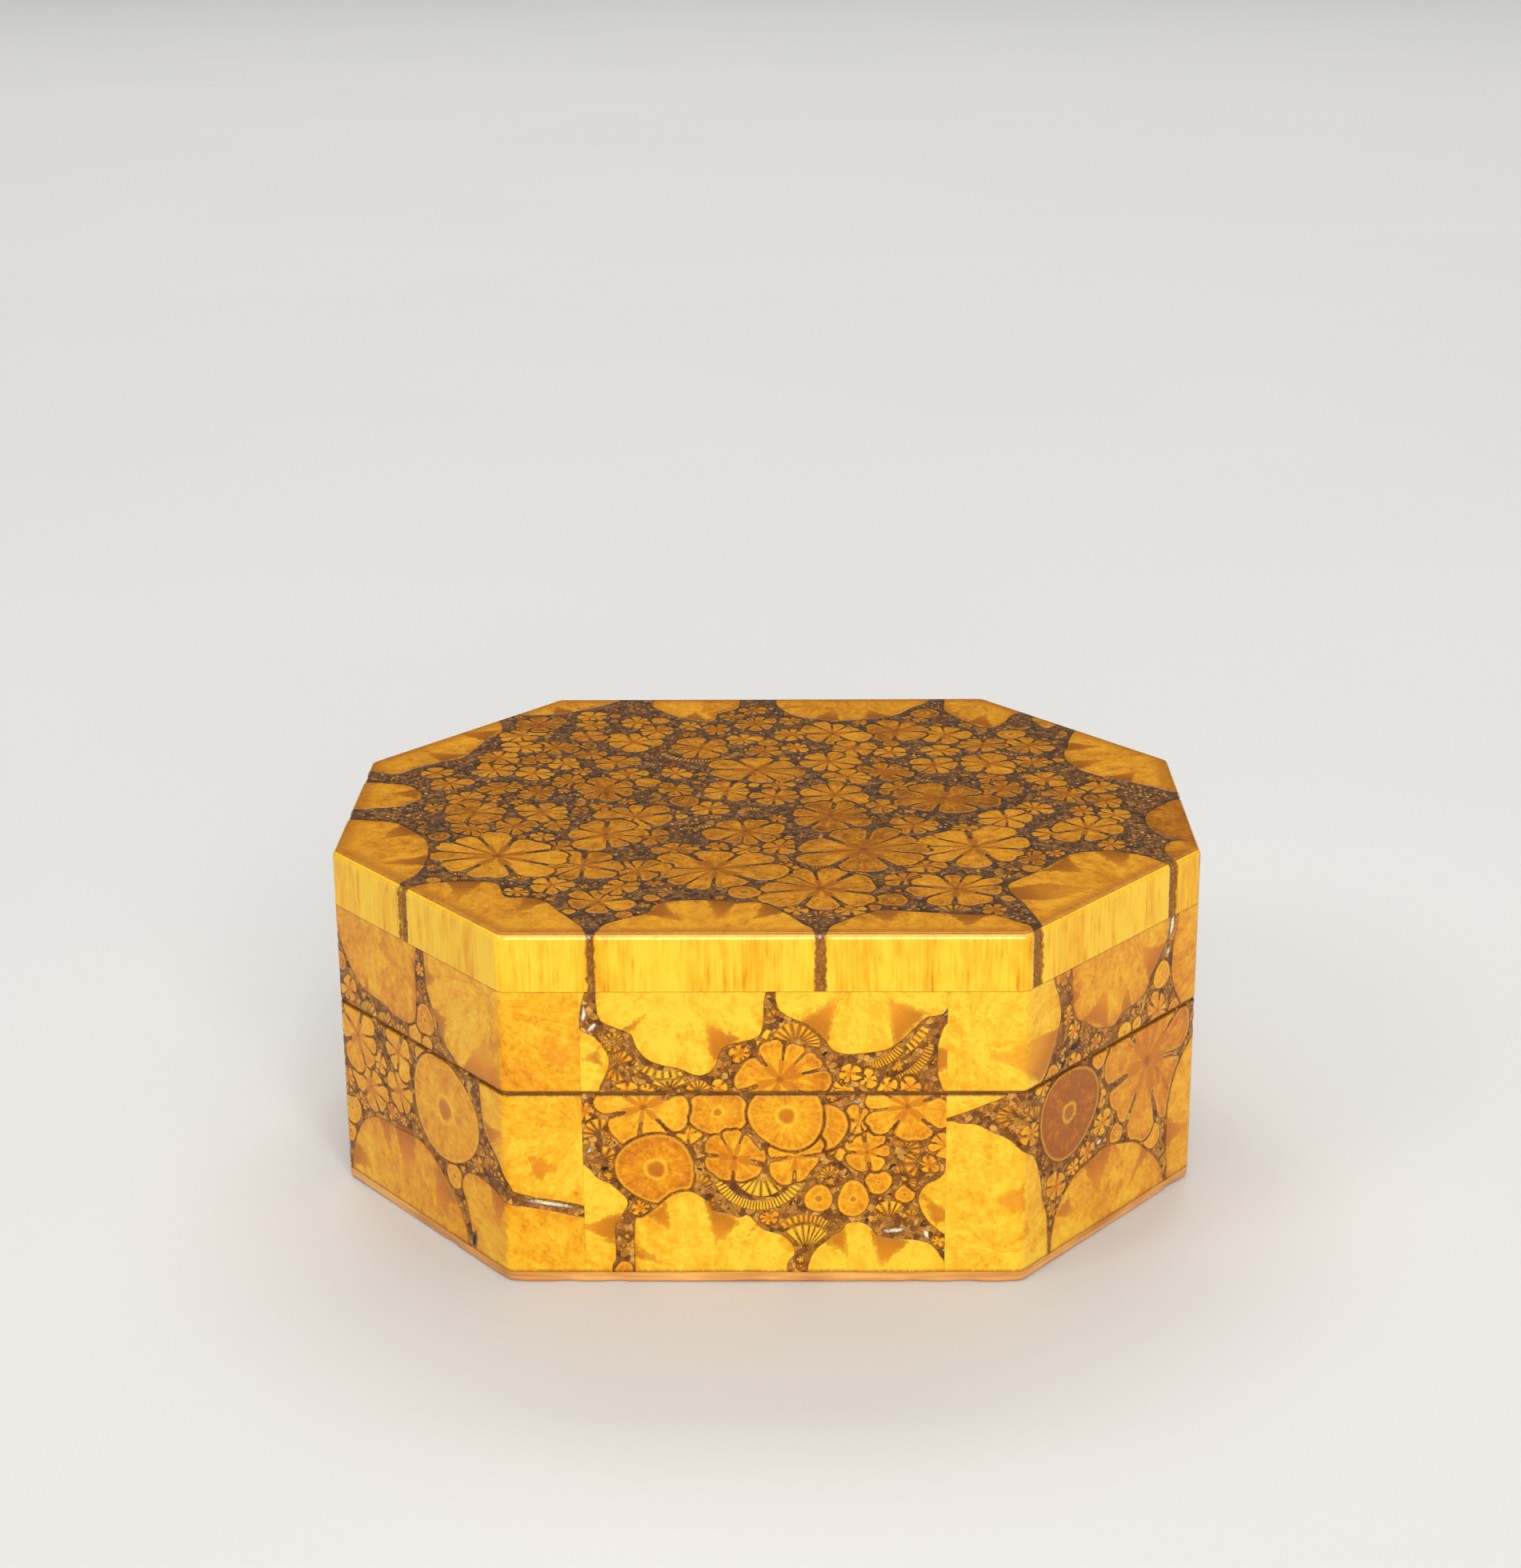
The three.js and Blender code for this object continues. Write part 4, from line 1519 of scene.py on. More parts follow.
# %% Left slab
base_left = [
    chip(16, 4, 2.6, 1.3, 80, "speck"),
    chip(round_corner(37.5), 15.6, 6, 0.9, -14),
    large([(19.4, 38), (20, 31), (21, 27), (24, 24), (27.2, 19.6), (round_corner(44), 17.8),
           (round_corner(39), 16.4), (round_corner(32.5), 14.6), (38, 14.2)],
          [(46, 14), (46, 46), (19, 48)], (36, 30), 0.26),
    large([(15.8, 1), (15.2, 6), (14.2, 10), (12.8, 13), (13.2, 15.4), (16, 17.4), (22, 17.2), (27.2, 15.6),
           (round_corner(38), 14.4), (round_corner(33), 13.2), (38, 12.8)],
          [(46, 12), (46, -8), (16, -8)], (34, 2), 0.3),
    large([(-26.4, 1), (-24.8, 8), (-22, 13), (-19, 15.5), (-15, 17), (-8, 17.2), (-2, 17.5), (2, 16.5),
           (5, 14.5), (9, 11.5), (12, 8), (13.5, 5), (14, 2)], [(14, -8), (-26.6, -8)], (-6, -9), 0.42),
    plain(8, 26.8, 9.5, 0.42, 0.95),
    flower(-21.4, 31.6, 6.3, 6, 0.45),
    flower(-7.2, 32.8, 4.3, 5, 0.4),
    flower(-7.4, 25, 4.1, 5, 0.45),
    flower(-17.6, 22.5, 5.7, 6, 0.45, 0.2, 0.72),
    flower(-13.8, 28.4, 2.2, 4, 0.4),
    plain(0.6, 35.2, 1.9, 0.4),
    fan(22.4, 20.4, 2.4, 20, 190, 0.5),
    fan(24.8, 19.4, 1.6, -30, 120, 0.4),
    key_band(-3, 20, 1, 2.2, 20, 170, 0.4),
    fan(-27.4, 24.6, 2.8, 60, 250, 0.5),
    fan(-26, 17.6, 2, 20, 160, 0.4),
]
base_left_darts = [
    dart((-15, 16.8), (-11.8, 17.4), (-10.6, 7.4)),
    dart((-10.4, 18), (-2.2, 18), (-6, 6.5)),
    dart((4.4, 15), (11, 9.4), (3.4, 6)),
    dart((-26.4, 3), (-24.4, 9), (-18.4, 5.2)),
    dart((round_corner(41.6), 25.2), (round_corner(36), 22.6), (round_corner(40), 20)),
    dart((22, 17.6), (27, 16), (24, 9)),
    dart((20.6, 29), (22.2, 25.4), (26.4, 29)),
]
lid_left = [
    large([(-28.2, 58), (-27.4, 52), (-26, 49), (-23, 45), (-20, 42.5), (-17, 41.5), (-12, 41), (-8, 40),
           (-4, 39.8), (-0.8, 41.4), (0, 46), (0, 52)], [(0, 66), (-28, 66)], (-13, 60), 0.46),
    large([(3, 58), (3.2, 52), (4, 48), (7, 43), (9, 40), (12, 38), (15, 36), (22, 35),
           (round_corner(45), 35), (round_corner(37), 35.2), (round_corner(33), 35.4)],
          [(44, 34), (44, 66), (3, 66)], (24, 54), 0.36),
    large([(-27.8, 34), (-27.6, 40), (-28.2, 45), (-30, 51), (-32, 58)],
          [(-48, 58), (-48, 34)], (-40, 44), 0.42),
    chip(-28.2, 53.6, 2.2, 1.1, 70),
    plain(3, 37.9, 1.6, 0.4),
    fan(-17, 36.6, 3.2, 20, 160, 0.3),
    fan(-11.6, 36.4, 3, 20, 160, 0.35),
    flower(-23.8, 40.2, 2.6, 5, 0.45),
    key_band(-6, 36, 1.4, 2.8, 10, 170, 0.3),
    fan(7, 38, 1.7, 0, 200, 0.4),
]
lid_left_darts = [
    dart((3, 49.4), (3, 53.8), (7, 51.6)),
    dart((12.4, 50.2), (15.8, 50.4), (14.2, 52.8)),
    dart((5.4, 45.8), (8.8, 40.4), (9.6, 45.4)),
    dart((14, 37), (27, 36.4), (24, 48.2)),
    dart((-18.4, 41.4), (-16.2, 41), (-17.2, 44)),
    dart((round_corner(39.5), 46.6), (round_corner(32), 46.6), (round_corner(35), 40.4)),
]
print("left slab:", len(base_left) + len(lid_left), "slices")

# %% [markdown]
# ## Laying out the top
# The top was sawn from a bundle with the thick stems outside and the thin ones inside. So fifteen large
# slices lie along the edge, cut off by it, and small flowers crowd the middle. Their petals are left to
# the helper, which gives a larger slice more of them.

# %% Top
top_rims = [
    large([(-79.5, -9), (-75, -9.5), (-70, -11), (-66, -16), (-63, -21), (-62, -27), (-62, -35),
           (-64.4, -41.5)], [(-74, -52), (-96, -34), (-96, -9)], (-84, -32), 0.2),
    large([(-63.4, -45), (-58, -42.6), (-52, -42), (-47.6, -43.4), (-45.6, -49.6), (-41, -50.2),
           (-38, -52.5), (-35.5, -57), (-33, -61), (-30.6, -66)], [(-30, -78), (-54, -82), (-75.6, -57)],
           (-54, -66), 0.2),
    large([(-28.4, -66), (-25, -61), (-20.5, -58), (-19, -54), (-16, -52), (-12, -51.5), (-6, -52),
           (-5, -53), (-2, -52.5), (1, -54), (4, -58), (7, -63), (8.9, -67)], [(9.4, -84), (-29, -84)],
           (-11, -78), 0.15),
    large([(10.9, -67), (13.4, -62), (18, -58), (21, -56.5), (25, -57), (35, -58.5), (40, -59),
           (44.4, -62.6), (46.4, -66)], [(47.6, -84), (10.6, -84)], (28, -78), 0.2),
    large([(48.2, -65.6), (45.6, -54), (43.5, -48), (43.5, -44), (46, -41), (50, -36.5), (54, -31),
           (57, -28), (63, -27), (69, -29.5), (73, -33.6)],
          [(82, -42), (64, -68), (50, -78)], (66, -56), 0.15),
    large([(74.6, -19.6), (71.5, -14), (72, -7), (76, -1), (80, 2)], [(94, 4), (94, -24), (82, -22)],
           (86, -10), 0.5),
    large([(75.4, -33), (73.2, -28.6), (73.6, -24), (76.4, -21.4)], [(84, -23), (88, -30), (80, -36)],
           (79, -27), 0.4),
    large([(63.4, 46), (61, 38), (60.5, 34), (59.5, 31), (59.5, 26), (61, 21), (63, 18), (67, 14),
           (70, 12.5), (75, 9), (80, 6)], [(96, 6), (96, 42), (70, 60)], (82, 30), 0.25),
    large([(37, 68), (36.5, 60), (38, 56), (41, 51), (44, 47.5), (46.5, 47.5), (49, 51), (50.5, 55),
           (53.6, 58.6)], [(62, 66), (50, 84), (37, 84)], (46, 72), 0.25),
    large([(55, 54), (55.4, 50), (57, 46.5), (59.4, 49), (58.6, 53)], [(62, 60)], (58, 54), 0.3),
    large([(1, 68), (1.5, 62), (5, 55.5), (10, 53), (14, 52), (20, 53), (26, 55.5), (30, 61), (34, 67)],
          [(36, 84), (1, 84)], (17, 76), 0.25),
    large([(-25, 68), (-25, 62), (-18, 53.5), (-12, 52), (-11, 57), (-7, 61), (-6.5, 68)],
          [(-6, 84), (-25, 84)], (-15, 74), 0.25),
    large([(-32, 68), (-36, 63), (-41, 59), (-45, 57), (-50, 56.5), (-56, 58)],
          [(-66, 66), (-52, 84), (-31, 82)], (-46, 72), 0.25),
    large([(-57.6, 54.4), (-55.5, 46), (-58, 40), (-60, 33), (-62, 28), (-66, 25.5), (-70, 22), (-74, 18),
           (-80, 20)], [(-96, 24), (-80, 50), (-64, 64)], (-76, 40), 0.25),
    large([(-80, 13), (-74, 12), (-70, 10.5), (-67, 4.5), (-69, 0), (-72, -2), (-80, -3)],
          [(-96, -3), (-96, 13)], (-84, 5), 0.25),
]
top_darts = [
    dart((-69, -11), (-65.4, -17.4), (-72, -20)),
    dart((-61, -28), (-61.4, -34), (-70, -33)),
    dart((-57, -42), (-50, -41), (-54, -52)),
    dart((-42, -49.6), (-37.6, -52), (-44, -59)),
    dart((-20.6, -58.4), (-17.8, -52.6), (-13.4, -62)),
    dart((-10, -50.6), (-4, -51.6), (-8, -61)),
    dart((0, -52.6), (4, -57.4), (-1.6, -61)),
    dart((18, -57.4), (24, -56), (22, -63)),
    dart((32, -57.6), (40, -58), (35, -64.6)),
    dart((43.6, -52), (43, -46), (50, -43.4), (58, -46), (52, -51.6)),
    dart((50, -37.4), (55, -30), (57, -38)),
    dart((60, -26), (67, -27.6), (64, -36)),
    dart((59.4, 25), (61.4, 19.6), (68, 26)),
    dart((61, 37), (60, 31.4), (68, 34)),
    dart((66, 14.4), (71, 11.4), (73, 19)),
    dart((41, 50.4), (46, 46.6), (45, 56)),
    dart((9, 52.6), (15, 51.4), (13, 60)),
    dart((20, 52.4), (25, 54.6), (20, 61)),
    dart((-18.4, 53), (-13, 51.6), (-16, 59)),
    dart((-46, 56.6), (-41, 58.4), (-46, 63)),
    dart((-56, 46), (-58.4, 39), (-65, 44)),
    dart((-61, 30), (-65.6, 25), (-70, 32)),
    dart((-68, 3), (-68, 9), (-74, 6)),
]
top_middles = [
    (-49, -29, 10), (-33, -34, 6.2), (-23, -36.6, 4.6), (-38, -44, 3.4), (-25.6, -45, 3.2),
    (-29, -52.4, 4.8), (-9, -36, 9.2), (-30, -17.6, 6.4), (-21.6, -19, 3.4), (-25, -8, 6.2), (-11, -3, 3.2),
    (-4, -16, 6), (-56, -5, 5.4), (-55.6, -14, 3.4), (-47.6, -13, 3.8), (-43, -5, 4.4), (-38.6, -24.6, 3),
    (18, -26, 9.8), (10, -46, 8.6), (34, -46.4, 7), (25, -41.4, 3), (38.6, -24.6, 8.6), (60, -15, 5.8),
    (53, -17.6, 3), (66, -7.4, 3), (65, 1, 3.2), (12, -7.4, 6.8), (13, 4.4, 6), (34, 2.6, 7.8), (12, 25, 5),
    (15.6, 15.6, 3.8), (23, 18.6, 4.6), (17, 33, 4.2), (24.6, 31, 3), (13, 43.4, 5.8), (4.6, 42.6, 3.4),
    (26, 45, 5.8), (36, 42.4, 4.6), (43.4, 35.4, 4), (52.6, 35, 4.4), (44, 23.4, 5), (52.6, 24.4, 3.2),
    (34.4, 32, 3.2), (58, 4.4, 3.8), (-2.4, 20, 7.2), (-14, 34, 5.4), (-23.4, 45, 3.4), (-11, 46.4, 2.8),
    (-28, 51, 3), (-37, 49.6, 2.8), (-37.6, 42, 3.2), (-28, 38, 4.8), (-48, 50, 4.4), (-51.4, 42.6, 3.8),
    (-50.4, 35, 3.4), (-43.4, 34.4, 3.8), (-54.4, 28, 3.6), (-47, 27, 2.8), (-41, 24, 3),
    (-54.6, 20.4, 3.8), (-46.4, 18, 3.4), (-36, 30, 2.8), (-30.6, 25, 3.8), (-27.6, 17.6, 3),
    (-31.6, 8.6, 5.4), (-45, 6.4, 3.4), (-52.6, 9, 3.4), (-58.6, 3.4, 3.2), (-37.6, 55.4, 2.8),
    (-18.4, 18, 2.8), (-18, 8, 3.2), (-62.6, 12, 3.4), (45.4, -9, 4.4), (27.6, -12.6, 4), (22, -2, 3),
    (45.6, 8, 4), (51, -3.6, 3.2), (44, 14.6, 2.8), (1.4, 3.6, 4), (-8, 7, 4.4), (-1, 31.6, 3.2),
    (-5.6, 39.6, 3), (2, 10.6, 2.6), (64.6, 9, 3), (-39, 13, 3.4), (-66, 18.6, 2.8), (-3, 50, 3.8),
    (33, 22.6, 4.2), (25.6, 9, 3.4), (54.6, 14, 3.6), (-16.4, -26, 3.4), (3.4, -36.6, 3), (29, -34.6, 3.2),
    (48.6, -30.6, 2.8), (2.6, -24.6, 3.2),
]
top_bands = [
    key_band(18, -26, 14.4, 16.2, 150, 215, 0.35),
    key_band(-14, 34, 7.4, 9, 200, 340, 0.3),
    key_band(10, -46, 10, 11.4, 30, 100, 0.4),
    fan(33, -58, 4, 30, 150, 0.3),
]
top_flowers = [flower(x, y, 1.13 * size, tone=0.3 + 0.35 * chance(x, y, 5)) for x, y, size in top_middles]
top_layout = top_rims + top_flowers + top_bands
print("top:", len(top_layout), "slices")

# %% [markdown]
# ## Filling what is left
# It would be tedious to place every small slice. Between the listed ones, others are dropped where there
# is room: we try many places from a fixed seed, ask how far the nearest rim is, and keep a slice that fits.
# The faces that the picture doesn't show are laid out in the same way, with large slices along their outer
# edges first.


# %% Fillers
filler_gap = 0.06


def fill_gaps(slices, low, high, least, most, tries, seed, kinds):
    """Adds slices where there is room between two corners of a region. Kinds are tried by lot."""
    luck = np.random.default_rng(seed)
    x = luck.uniform(low[0], high[0], tries)
    y = luck.uniform(low[1], high[1], tries)
    room = -fields_at(x, y, slices, [])["stem"][:, 2]
    picks = luck.integers(0, len(kinds), tries)
    angles = luck.uniform(0, 360, tries)
    added = []
    for i in np.argsort(-np.minimum(room, most), kind="stable"):
        size = min(room[i] - filler_gap, most)
        if size < least:
            continue
        kind, turn = kinds[picks[i]], angles[i]
        if kind == "flower":
            added.append(flower(x[i], y[i], size, tone=0.35 + 0.3 * chance(x[i], y[i])))
        elif kind == "plain":
            added.append(plain(x[i], y[i], size, 0.35 + 0.4 * chance(x[i], y[i])))
        elif kind == "fan":
            added.append(fan(x[i], y[i], size, turn, turn + 150, 0.25 + 0.5 * chance(x[i], y[i])))
        else:
            tone = 0.25 + 0.5 * chance(x[i], y[i])
            added.append(key_band(x[i], y[i], 0.45 * size, size, turn, turn + 170, tone))
        room = np.minimum(room, np.hypot(x - x[i], y - y[i]) - size)
    return slices + added


beyond = 14  # how far past the edge a cut slice is closed


def large_row(low, high, edge, inward, seed):
    """Large slices side by side along an edge, cut off by it, with their darts."""
    luck = np.random.default_rng(seed)
    slices, darts = [], []
    place = low - luck.uniform(2, 14)
    while place < high:
        size = luck.uniform(12, 17)
        x, y = place + size, edge - inward * luck.uniform(1, 5)
        angles = np.radians(np.linspace(-12, 192, 11))
        radii = size * luck.uniform(0.9, 1.08, 11)
        points = [(x - r * math.cos(a), y + inward * r * math.sin(a)) for a, r in zip(angles, radii)]
        hidden = [(x + size, y - inward * beyond), (x - size, y - inward * beyond)]
        slices.append(large(points, hidden, (x, y), luck.uniform(0.08, 0.25)))
        for a in np.radians(luck.choice([35, 62, 90, 118, 145], 3, replace=False)):
            wide, deep = luck.uniform(0.1, 0.26), luck.uniform(0.45, 0.7)
            corners = ((a - wide, 1.06), (a + wide, 1.06), (a, deep))
            around = [(r * size * math.cos(b), r * inward * size * math.sin(b)) for b, r in corners]
            darts.append(dart(*[(x - across, y + along) for across, along in around]))
        place += 2 * size + luck.uniform(0.8, 2.5)
    return slices, darts


print("fillers are ready")

# %% [markdown]
# ## Bark crumbs with Geometry Nodes
# The resin is full of loose bark. Crumbs repeat by the thousand on a surface, so Geometry Nodes scatter
# them: points are spread over the resin with a least distance between them, one of three low shapes lands
# on each with its own turn and size, and a random number is stored for its colour. The density blends over
# faces that are only partly free resin, so points too close to wood are deleted again.


# %% Node trees
class Tree:
    """A Geometry Nodes tree with named inputs."""

    def __init__(self, name, inputs):
        self.group = bpy.data.node_groups.new(name, "GeometryNodeTree")
        self.keys = {}
        for label, kind, value in inputs:
            socket = self.group.interface.new_socket(name=label, in_out="INPUT", socket_type=kind)
            self.keys[label] = socket.identifier
            if value is not None:
                socket.default_value = value
        self.group.interface.new_socket(name="Geometry", in_out="OUTPUT", socket_type="NodeSocketGeometry")
        self.input = self.group.nodes.new("NodeGroupInput")
        self.output = self.group.nodes.new("NodeGroupOutput")

    def given(self, label):
        return self.input.outputs[label]

    def node(self, kind, settings=None, sockets=None, out=0):
        """Adds a node: its settings first, then the values or links of its sockets."""
        made = self.group.nodes.new(kind)
        for name, value in (settings or {}).items():
            setattr(made, name, value)
        for name, value in (sockets or {}).items():
            if isinstance(value, bpy.types.NodeSocket):
                self.group.links.new(value, made.inputs[name])
            else:
                made.inputs[name].default_value = value
        return made.outputs[out]

    def random(self, low, high, seed):
        sockets = {2: low, 3: high, "Seed": seed}
        return self.node("FunctionNodeRandomValue", {"data_type": "FLOAT"}, sockets, 1)


print("trees can be built")


# %% Crumb tree
crumb_density = 6e6  # more points a square metre than the spacing lets through
free_ground = 0.96  # the share of free resin that a crumb needs round it


def crumb_points(t):
    """Points on the open resin, and the rotation that stands a crumb upright there."""
    ground = t.node("GeometryNodeInputNamedAttribute", {"data_type": "FLOAT"}, {"Name": "crumbs"})
    here = t.node("FunctionNodeCompare", {"operation": "GREATER_THAN"}, {0: ground, 1: 0.99})
    spread = {"Mesh": t.given("Geometry"), "Selection": here, "Distance Min": t.given("Spacing")}
    spread.update({"Density Max": crumb_density, "Seed": t.given("Seed")})
    points = t.node("GeometryNodeDistributePointsOnFaces", {"distribute_method": "POISSON"}, spread)
    too_near = t.node("FunctionNodeCompare", {"operation": "LESS_THAN"}, {0: ground, 1: free_ground})
    unwanted = {"Geometry": points, "Selection": too_near}
    points = t.node("GeometryNodeDeleteGeometry", {"domain": "POINT"}, unwanted)
    slab_up = t.node("GeometryNodeInputNamedAttribute", {"data_type": "FLOAT_VECTOR"}, {"Name": "up"})
    return points, t.node("FunctionNodeAlignRotationToVector", {"axis": "Z"}, {"Vector": slab_up})


def crumb_shapes(t):
    """Three low shapes to pick from."""
    flake = t.node("GeometryNodeMeshCylinder", {}, {"Vertices": 7, "Radius": 1.0, "Depth": 1.0})
    splinter = t.node("GeometryNodeMeshCylinder", {}, {"Vertices": 5, "Radius": 0.9, "Depth": 1.1})
    grain = t.node("GeometryNodeMeshIcoSphere", {}, {"Radius": 0.7, "Subdivisions": 1})
    shapes = t.node("GeometryNodeGeometryToInstance")
    for shape in (grain, splinter, flake):
        t.group.links.new(shape, shapes.node.inputs[0])
    return shapes


def crumb_tree():
    """Crumbs on every stretch of a slab where its attribute allows them."""
    inputs = [
        ("Geometry", "NodeSocketGeometry", None),
        ("Spacing", "NodeSocketFloat", 0.75 * MM),
        ("Size", "NodeSocketFloat", 0.5 * MM),
        ("Height", "NodeSocketFloat", 0.16 * MM),
        ("Seed", "NodeSocketInt", 1),
        ("Finish", "NodeSocketMaterial", None),
    ]
    t = Tree("bark crumbs", inputs)
    points, upright = crumb_points(t)
    spin = t.node("ShaderNodeCombineXYZ", {}, {"Z": t.random(0.0, 2 * math.pi, 11)})
    turn = t.node("FunctionNodeEulerToRotation", {}, {0: spin})
    rotation = t.node("FunctionNodeRotateRotation", {"rotation_space": "LOCAL"}, {0: upright, 1: turn})
    pick = t.node("FunctionNodeRandomValue", {"data_type": "INT"}, {4: 0, 5: 2, "Seed": 12}, 2)
    product = {"operation": "MULTIPLY"}
    wide = t.node("ShaderNodeMath", product, {0: t.random(0.45, 1.15, 13), 1: t.given("Size")})
    slim = t.node("ShaderNodeMath", product, {0: t.random(0.35, 0.8, 14), 1: t.given("Size")})
    scale = t.node("ShaderNodeCombineXYZ", {}, {"X": wide, "Y": slim, "Z": t.given("Height")})
    placed = {"Points": points, "Instance": crumb_shapes(t), "Pick Instance": True, "Instance Index": pick}
    placed.update({"Rotation": rotation, "Scale": scale})
    crumbs = t.node("GeometryNodeInstanceOnPoints", {}, placed)
    settings = {"data_type": "FLOAT", "domain": "INSTANCE"}
    stored = {"Geometry": crumbs, "Name": "luck", "Value": t.random(0.0, 1.0, 15)}
    crumbs = t.node("GeometryNodeStoreNamedAttribute", settings, stored)
    crumbs = t.node("GeometryNodeRealizeInstances", {}, {"Geometry": crumbs})
    crumbs = t.node("GeometryNodeSetMaterial", {}, {"Geometry": crumbs, "Material": t.given("Finish")})
    t.group.links.new(crumbs, t.output.inputs[0])
    return t


crumbs_tree = crumb_tree()
print("crumb tree with", len(crumbs_tree.group.nodes), "nodes")

# %% [markdown]
# ## The crumbs' finish
# The crumbs are bits of bark, from dark brown to tan. A material for each tone would make a long list, so
# there is one. The random number that the tree stores with each crumb picks a colour from its ramp.


# %% Crumb finish
def crumb_finish():
    """Bark: brown to tan, each crumb in its own tone, under the same varnish."""
    f = Finish("bark crumbs")
    luck = f.attribute("luck", "Fac")
    grain = f.noise(f.place((1, 1, 1)), 4.0, 3.0)
    bark = stops((0.1, 0.4, 0.7, 0.95), (74, 40, 10), (116, 70, 20), (160, 104, 36), (204, 148, 62))
    colour = f.shade(f.ramp(luck * 0.8 + grain * 0.3 - 0.05, bark), grain * 0.5 + 0.75)
    return f.varnish(colour, grain * 0.2 + 0.3, grain, 0.05, coat=0.0, shine=0.15)


crumb_bark = crumb_finish()
print("finish", crumb_bark.name, "has", len(crumb_bark.node_tree.nodes), "nodes")

# %% [markdown]
# ## Building the box
# Each slab replaces its own solid. The slabs that face the camera have listed patterns, and the others get
# a row of large slices instead. Everything rides on the one body, because the lid only rests on the base.

# %% Patterns
hand_made = {
    ("base", "front"): (base_front, base_front_darts),
    ("lid", "front"): (lid_front, lid_front_darts),
    ("base", "front_right"): (base_right, base_right_darts),
    ("lid", "front_right"): (lid_right, lid_right_darts),
    ("base", "front_left"): (base_left, base_left_darts),
    ("lid", "front_left"): (lid_left, lid_left_darts),
}
small_kinds = ["fan", "key", "fan", "flower"]
wall_fillers = [(1.7, 6.5, 900, ["flower", "flower", "plain"]), (0.55, 1.8, 3500, small_kinds)]


def fill_twice(slices, low, high, fillers, seed):
    """Fills a region in two rounds. Each has its least and largest radius, its tries and its kinds."""
    for least, most, tries, kinds in fillers:
        seed += 1
        slices = fill_gaps(slices, low, high, least, most, tries, seed, kinds)
    return slices


def pattern_for(half, index, reach, low, high):
    """The slices and darts of one slab: the listed ones or a row of large ones, and then fillers."""
    seed = 10 * index + (half == "lid")
    known = hand_made.get((half, faces[index].name))
    if known:
        slices, darts = known
    else:
        edge, inward = (low, 1) if half == "base" else (high, -1)
        slices, darts = large_row(-reach, reach, edge, inward, seed)
    return fill_twice(slices, (-reach, low), (reach, high), wall_fillers, seed), darts


print(len(hand_made), "patterns are made by hand")

# %% Build every slab
lip_inset = 5.9  # from the outer face to the lip that the lid goes round
rebate_inset = 5.5  # from the outer face to the step in the lid that goes over it
rebate_height = 3.2
foot_line = 0.04  # the glue line between the board and the walls
base_heights = (board_box[1].z + foot_line, base_seam, wall_box[1].z)
lid_heights = (lid_box[0].z - hairline, lid_wall_box[0].z, lid_wall_box[0].z + rebate_height)
wall_spacing = 0.4  # between two points of a sheet
top_spacing = 0.5
board_spacing = 1.0
corner_reach = 40  # how far a slab's pattern runs to each side of its middle
wall_reach = 32


def add_piece(name, mesh, nodes):
    """Puts a mesh into the scene in place of its solids."""
    piece = bpy.data.objects.new(name, mesh)
    bpy.context.collection.objects.link(piece)
    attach(piece, "root")
    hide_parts(*nodes)


for index, face in enumerate(faces):
    kind = "corner" if face.slanting else "wall"
    reach = corner_reach if face.slanting else wall_reach
    for half, heights, inset in (("base", base_heights, lip_inset), ("lid", lid_heights, rebate_inset)):
        slices, darts = pattern_for(half, index, reach, *sorted(heights[:2]))
        name = f"{half}_{kind}_{face.name}"
        finishes = [wall_slices, shaded_inner_faces]
        mesh = wall_slab("sliced_" + name, index, heights, inset, slices, darts, finishes, wall_spacing)
        add_piece("sliced_" + name, mesh, [name])
        print(name, "has", len(slices), "slices and", len(mesh.polygons), "faces")

# %% [markdown]
# ## The top and the board
# Between the placed slices the top gets small fillers only, because its stems are thin in the middle. The
# walls' fillers would be too large there. The board has no slices at all.

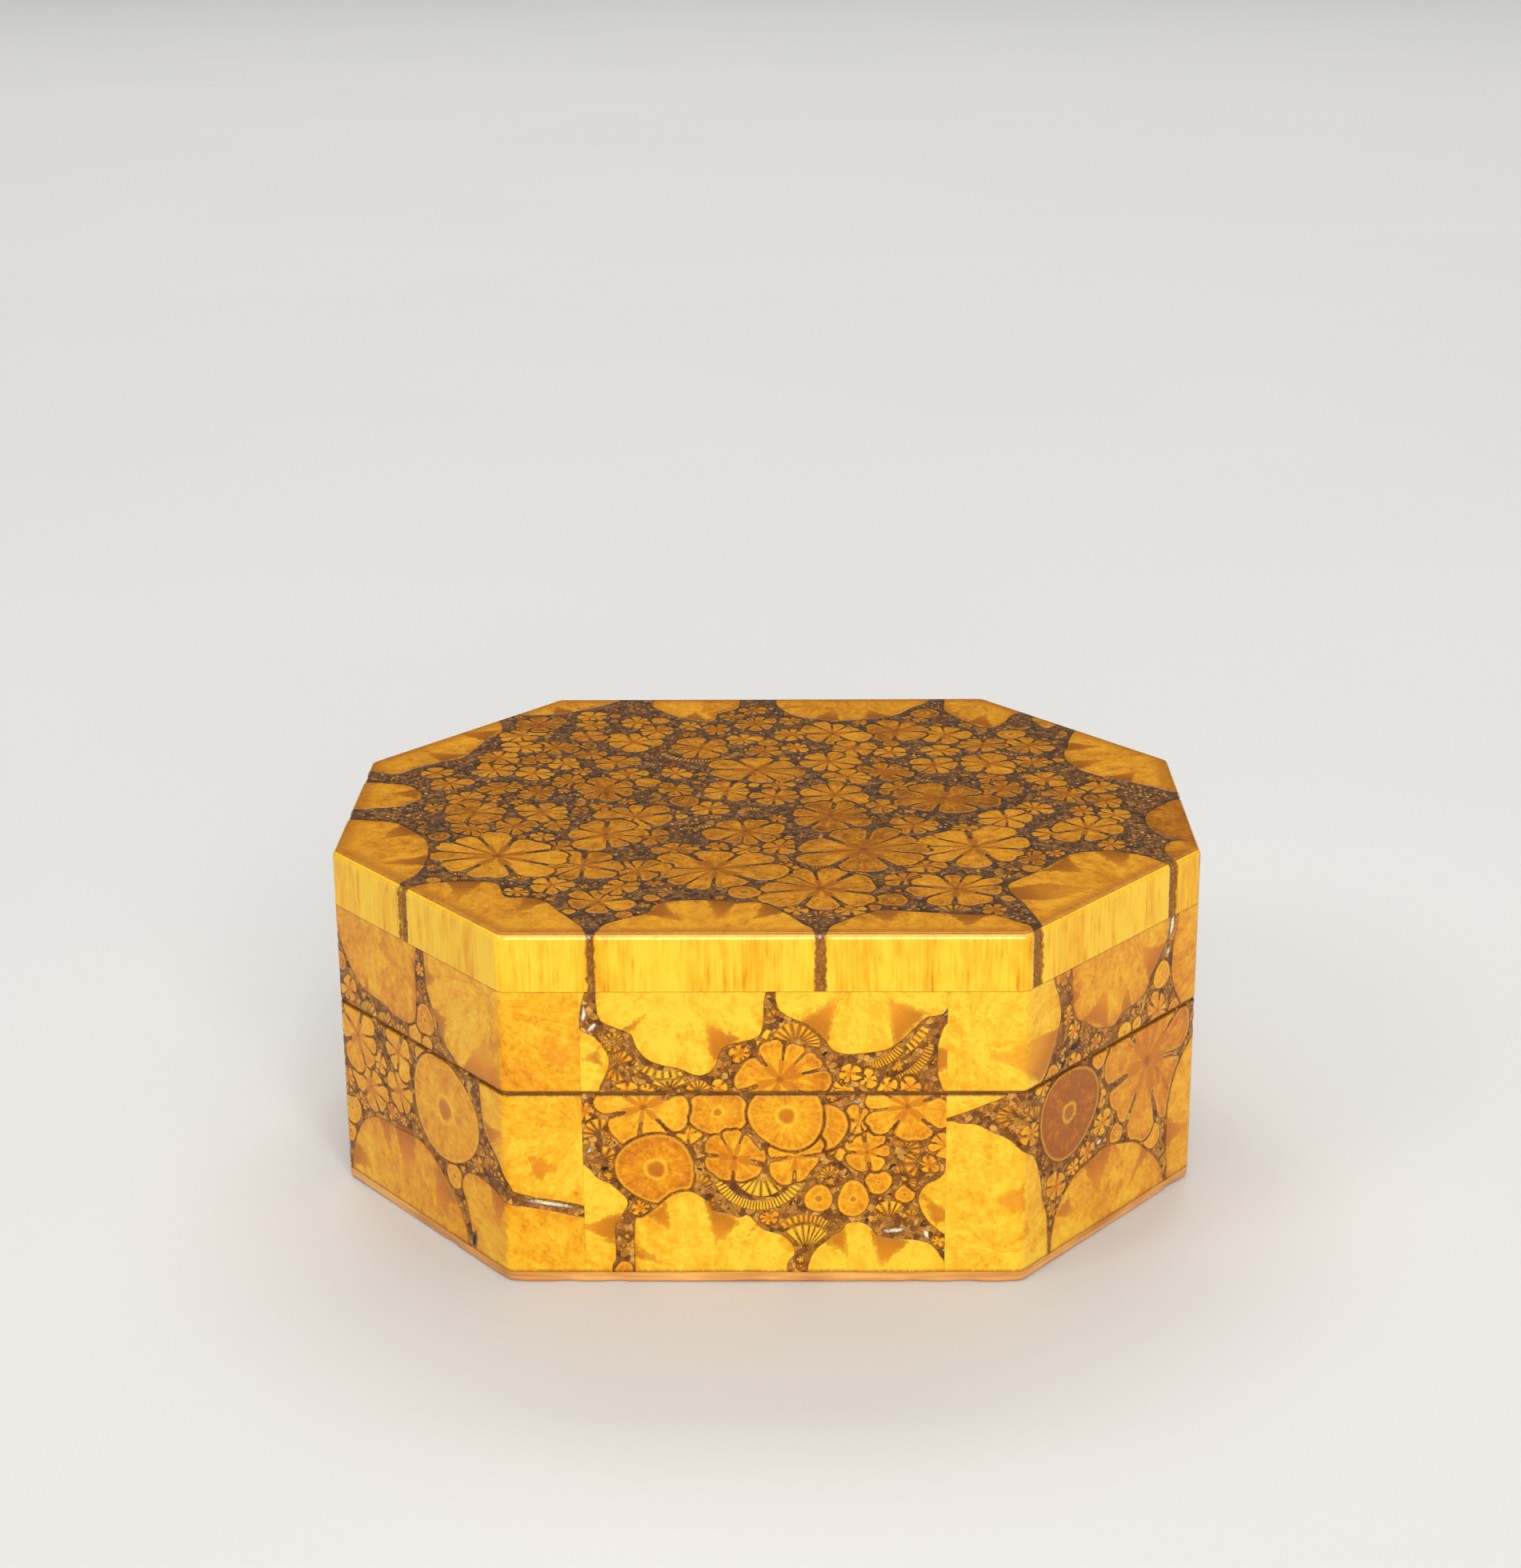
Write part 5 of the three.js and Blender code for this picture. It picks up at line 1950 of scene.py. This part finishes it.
# %% Build the top and the board
top_fillers = [(1.2, 2.8, 2500, ["flower", "plain", "fan", "key"]), (0.6, 1.2, 4000, small_kinds)]
top_pattern = fill_twice(top_layout, (-66, -60), (66, 60), top_fillers, 70)
mesh = top_slab("sliced_lid_top", top_pattern, top_darts, [top_slices, band, shaded_inner_faces], top_spacing)
add_piece("sliced_lid_top", mesh, ["lid_top_panel"])
print("the top has", len(top_pattern), "slices and", len(mesh.polygons), "faces")
mesh = bottom_board("board", [board_wood], board_spacing)
add_piece("board", mesh, ["bottom_panel"])
print("the board has", len(mesh.polygons), "faces")

# %% [markdown]
# ## Scattering the crumbs
# The tree runs once on each slab. Its result becomes a plain mesh, and the crumbs of one part of the box
# are joined, so that they lift off with the lid or stay with the base.


# %% Scatter the crumbs
def scattered(carrier, seed):
    """The crumbs on one slab as a plain mesh."""
    modifier = carrier.modifiers.new("crumbs", "NODES")
    modifier.node_group = crumbs_tree.group
    modifier[crumbs_tree.keys["Seed"]] = seed
    modifier[crumbs_tree.keys["Finish"]] = crumb_bark
    graph = bpy.context.evaluated_depsgraph_get()
    mesh = bpy.data.meshes.new_from_object(carrier.evaluated_get(graph))
    carrier.modifiers.remove(modifier)
    return mesh


def crumb_piece(name, slabs):
    """One piece with the crumbs of several slabs."""
    joined = bmesh.new()
    for seed, slab in enumerate(slabs):
        joined.from_mesh(scattered(slab, seed))
    mesh = bpy.data.meshes.new(name)
    joined.to_mesh(mesh)
    joined.free()
    mesh.materials.append(crumb_bark)
    piece = bpy.data.objects.new(name, mesh)
    bpy.context.collection.objects.link(piece)
    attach(piece, "root")
    print(name, "has", len(mesh.polygons), "faces")


def slabs_named(start):
    return [one for one in bpy.data.objects if one.name.startswith(start)]


crumb_piece("bark_crumbs_base", slabs_named("sliced_base"))
lid_slabs = slabs_named("sliced_lid_wall") + slabs_named("sliced_lid_corner")
crumb_piece("bark_crumbs_lid", lid_slabs)
crumb_piece("bark_crumbs_top", slabs_named("sliced_lid_top"))
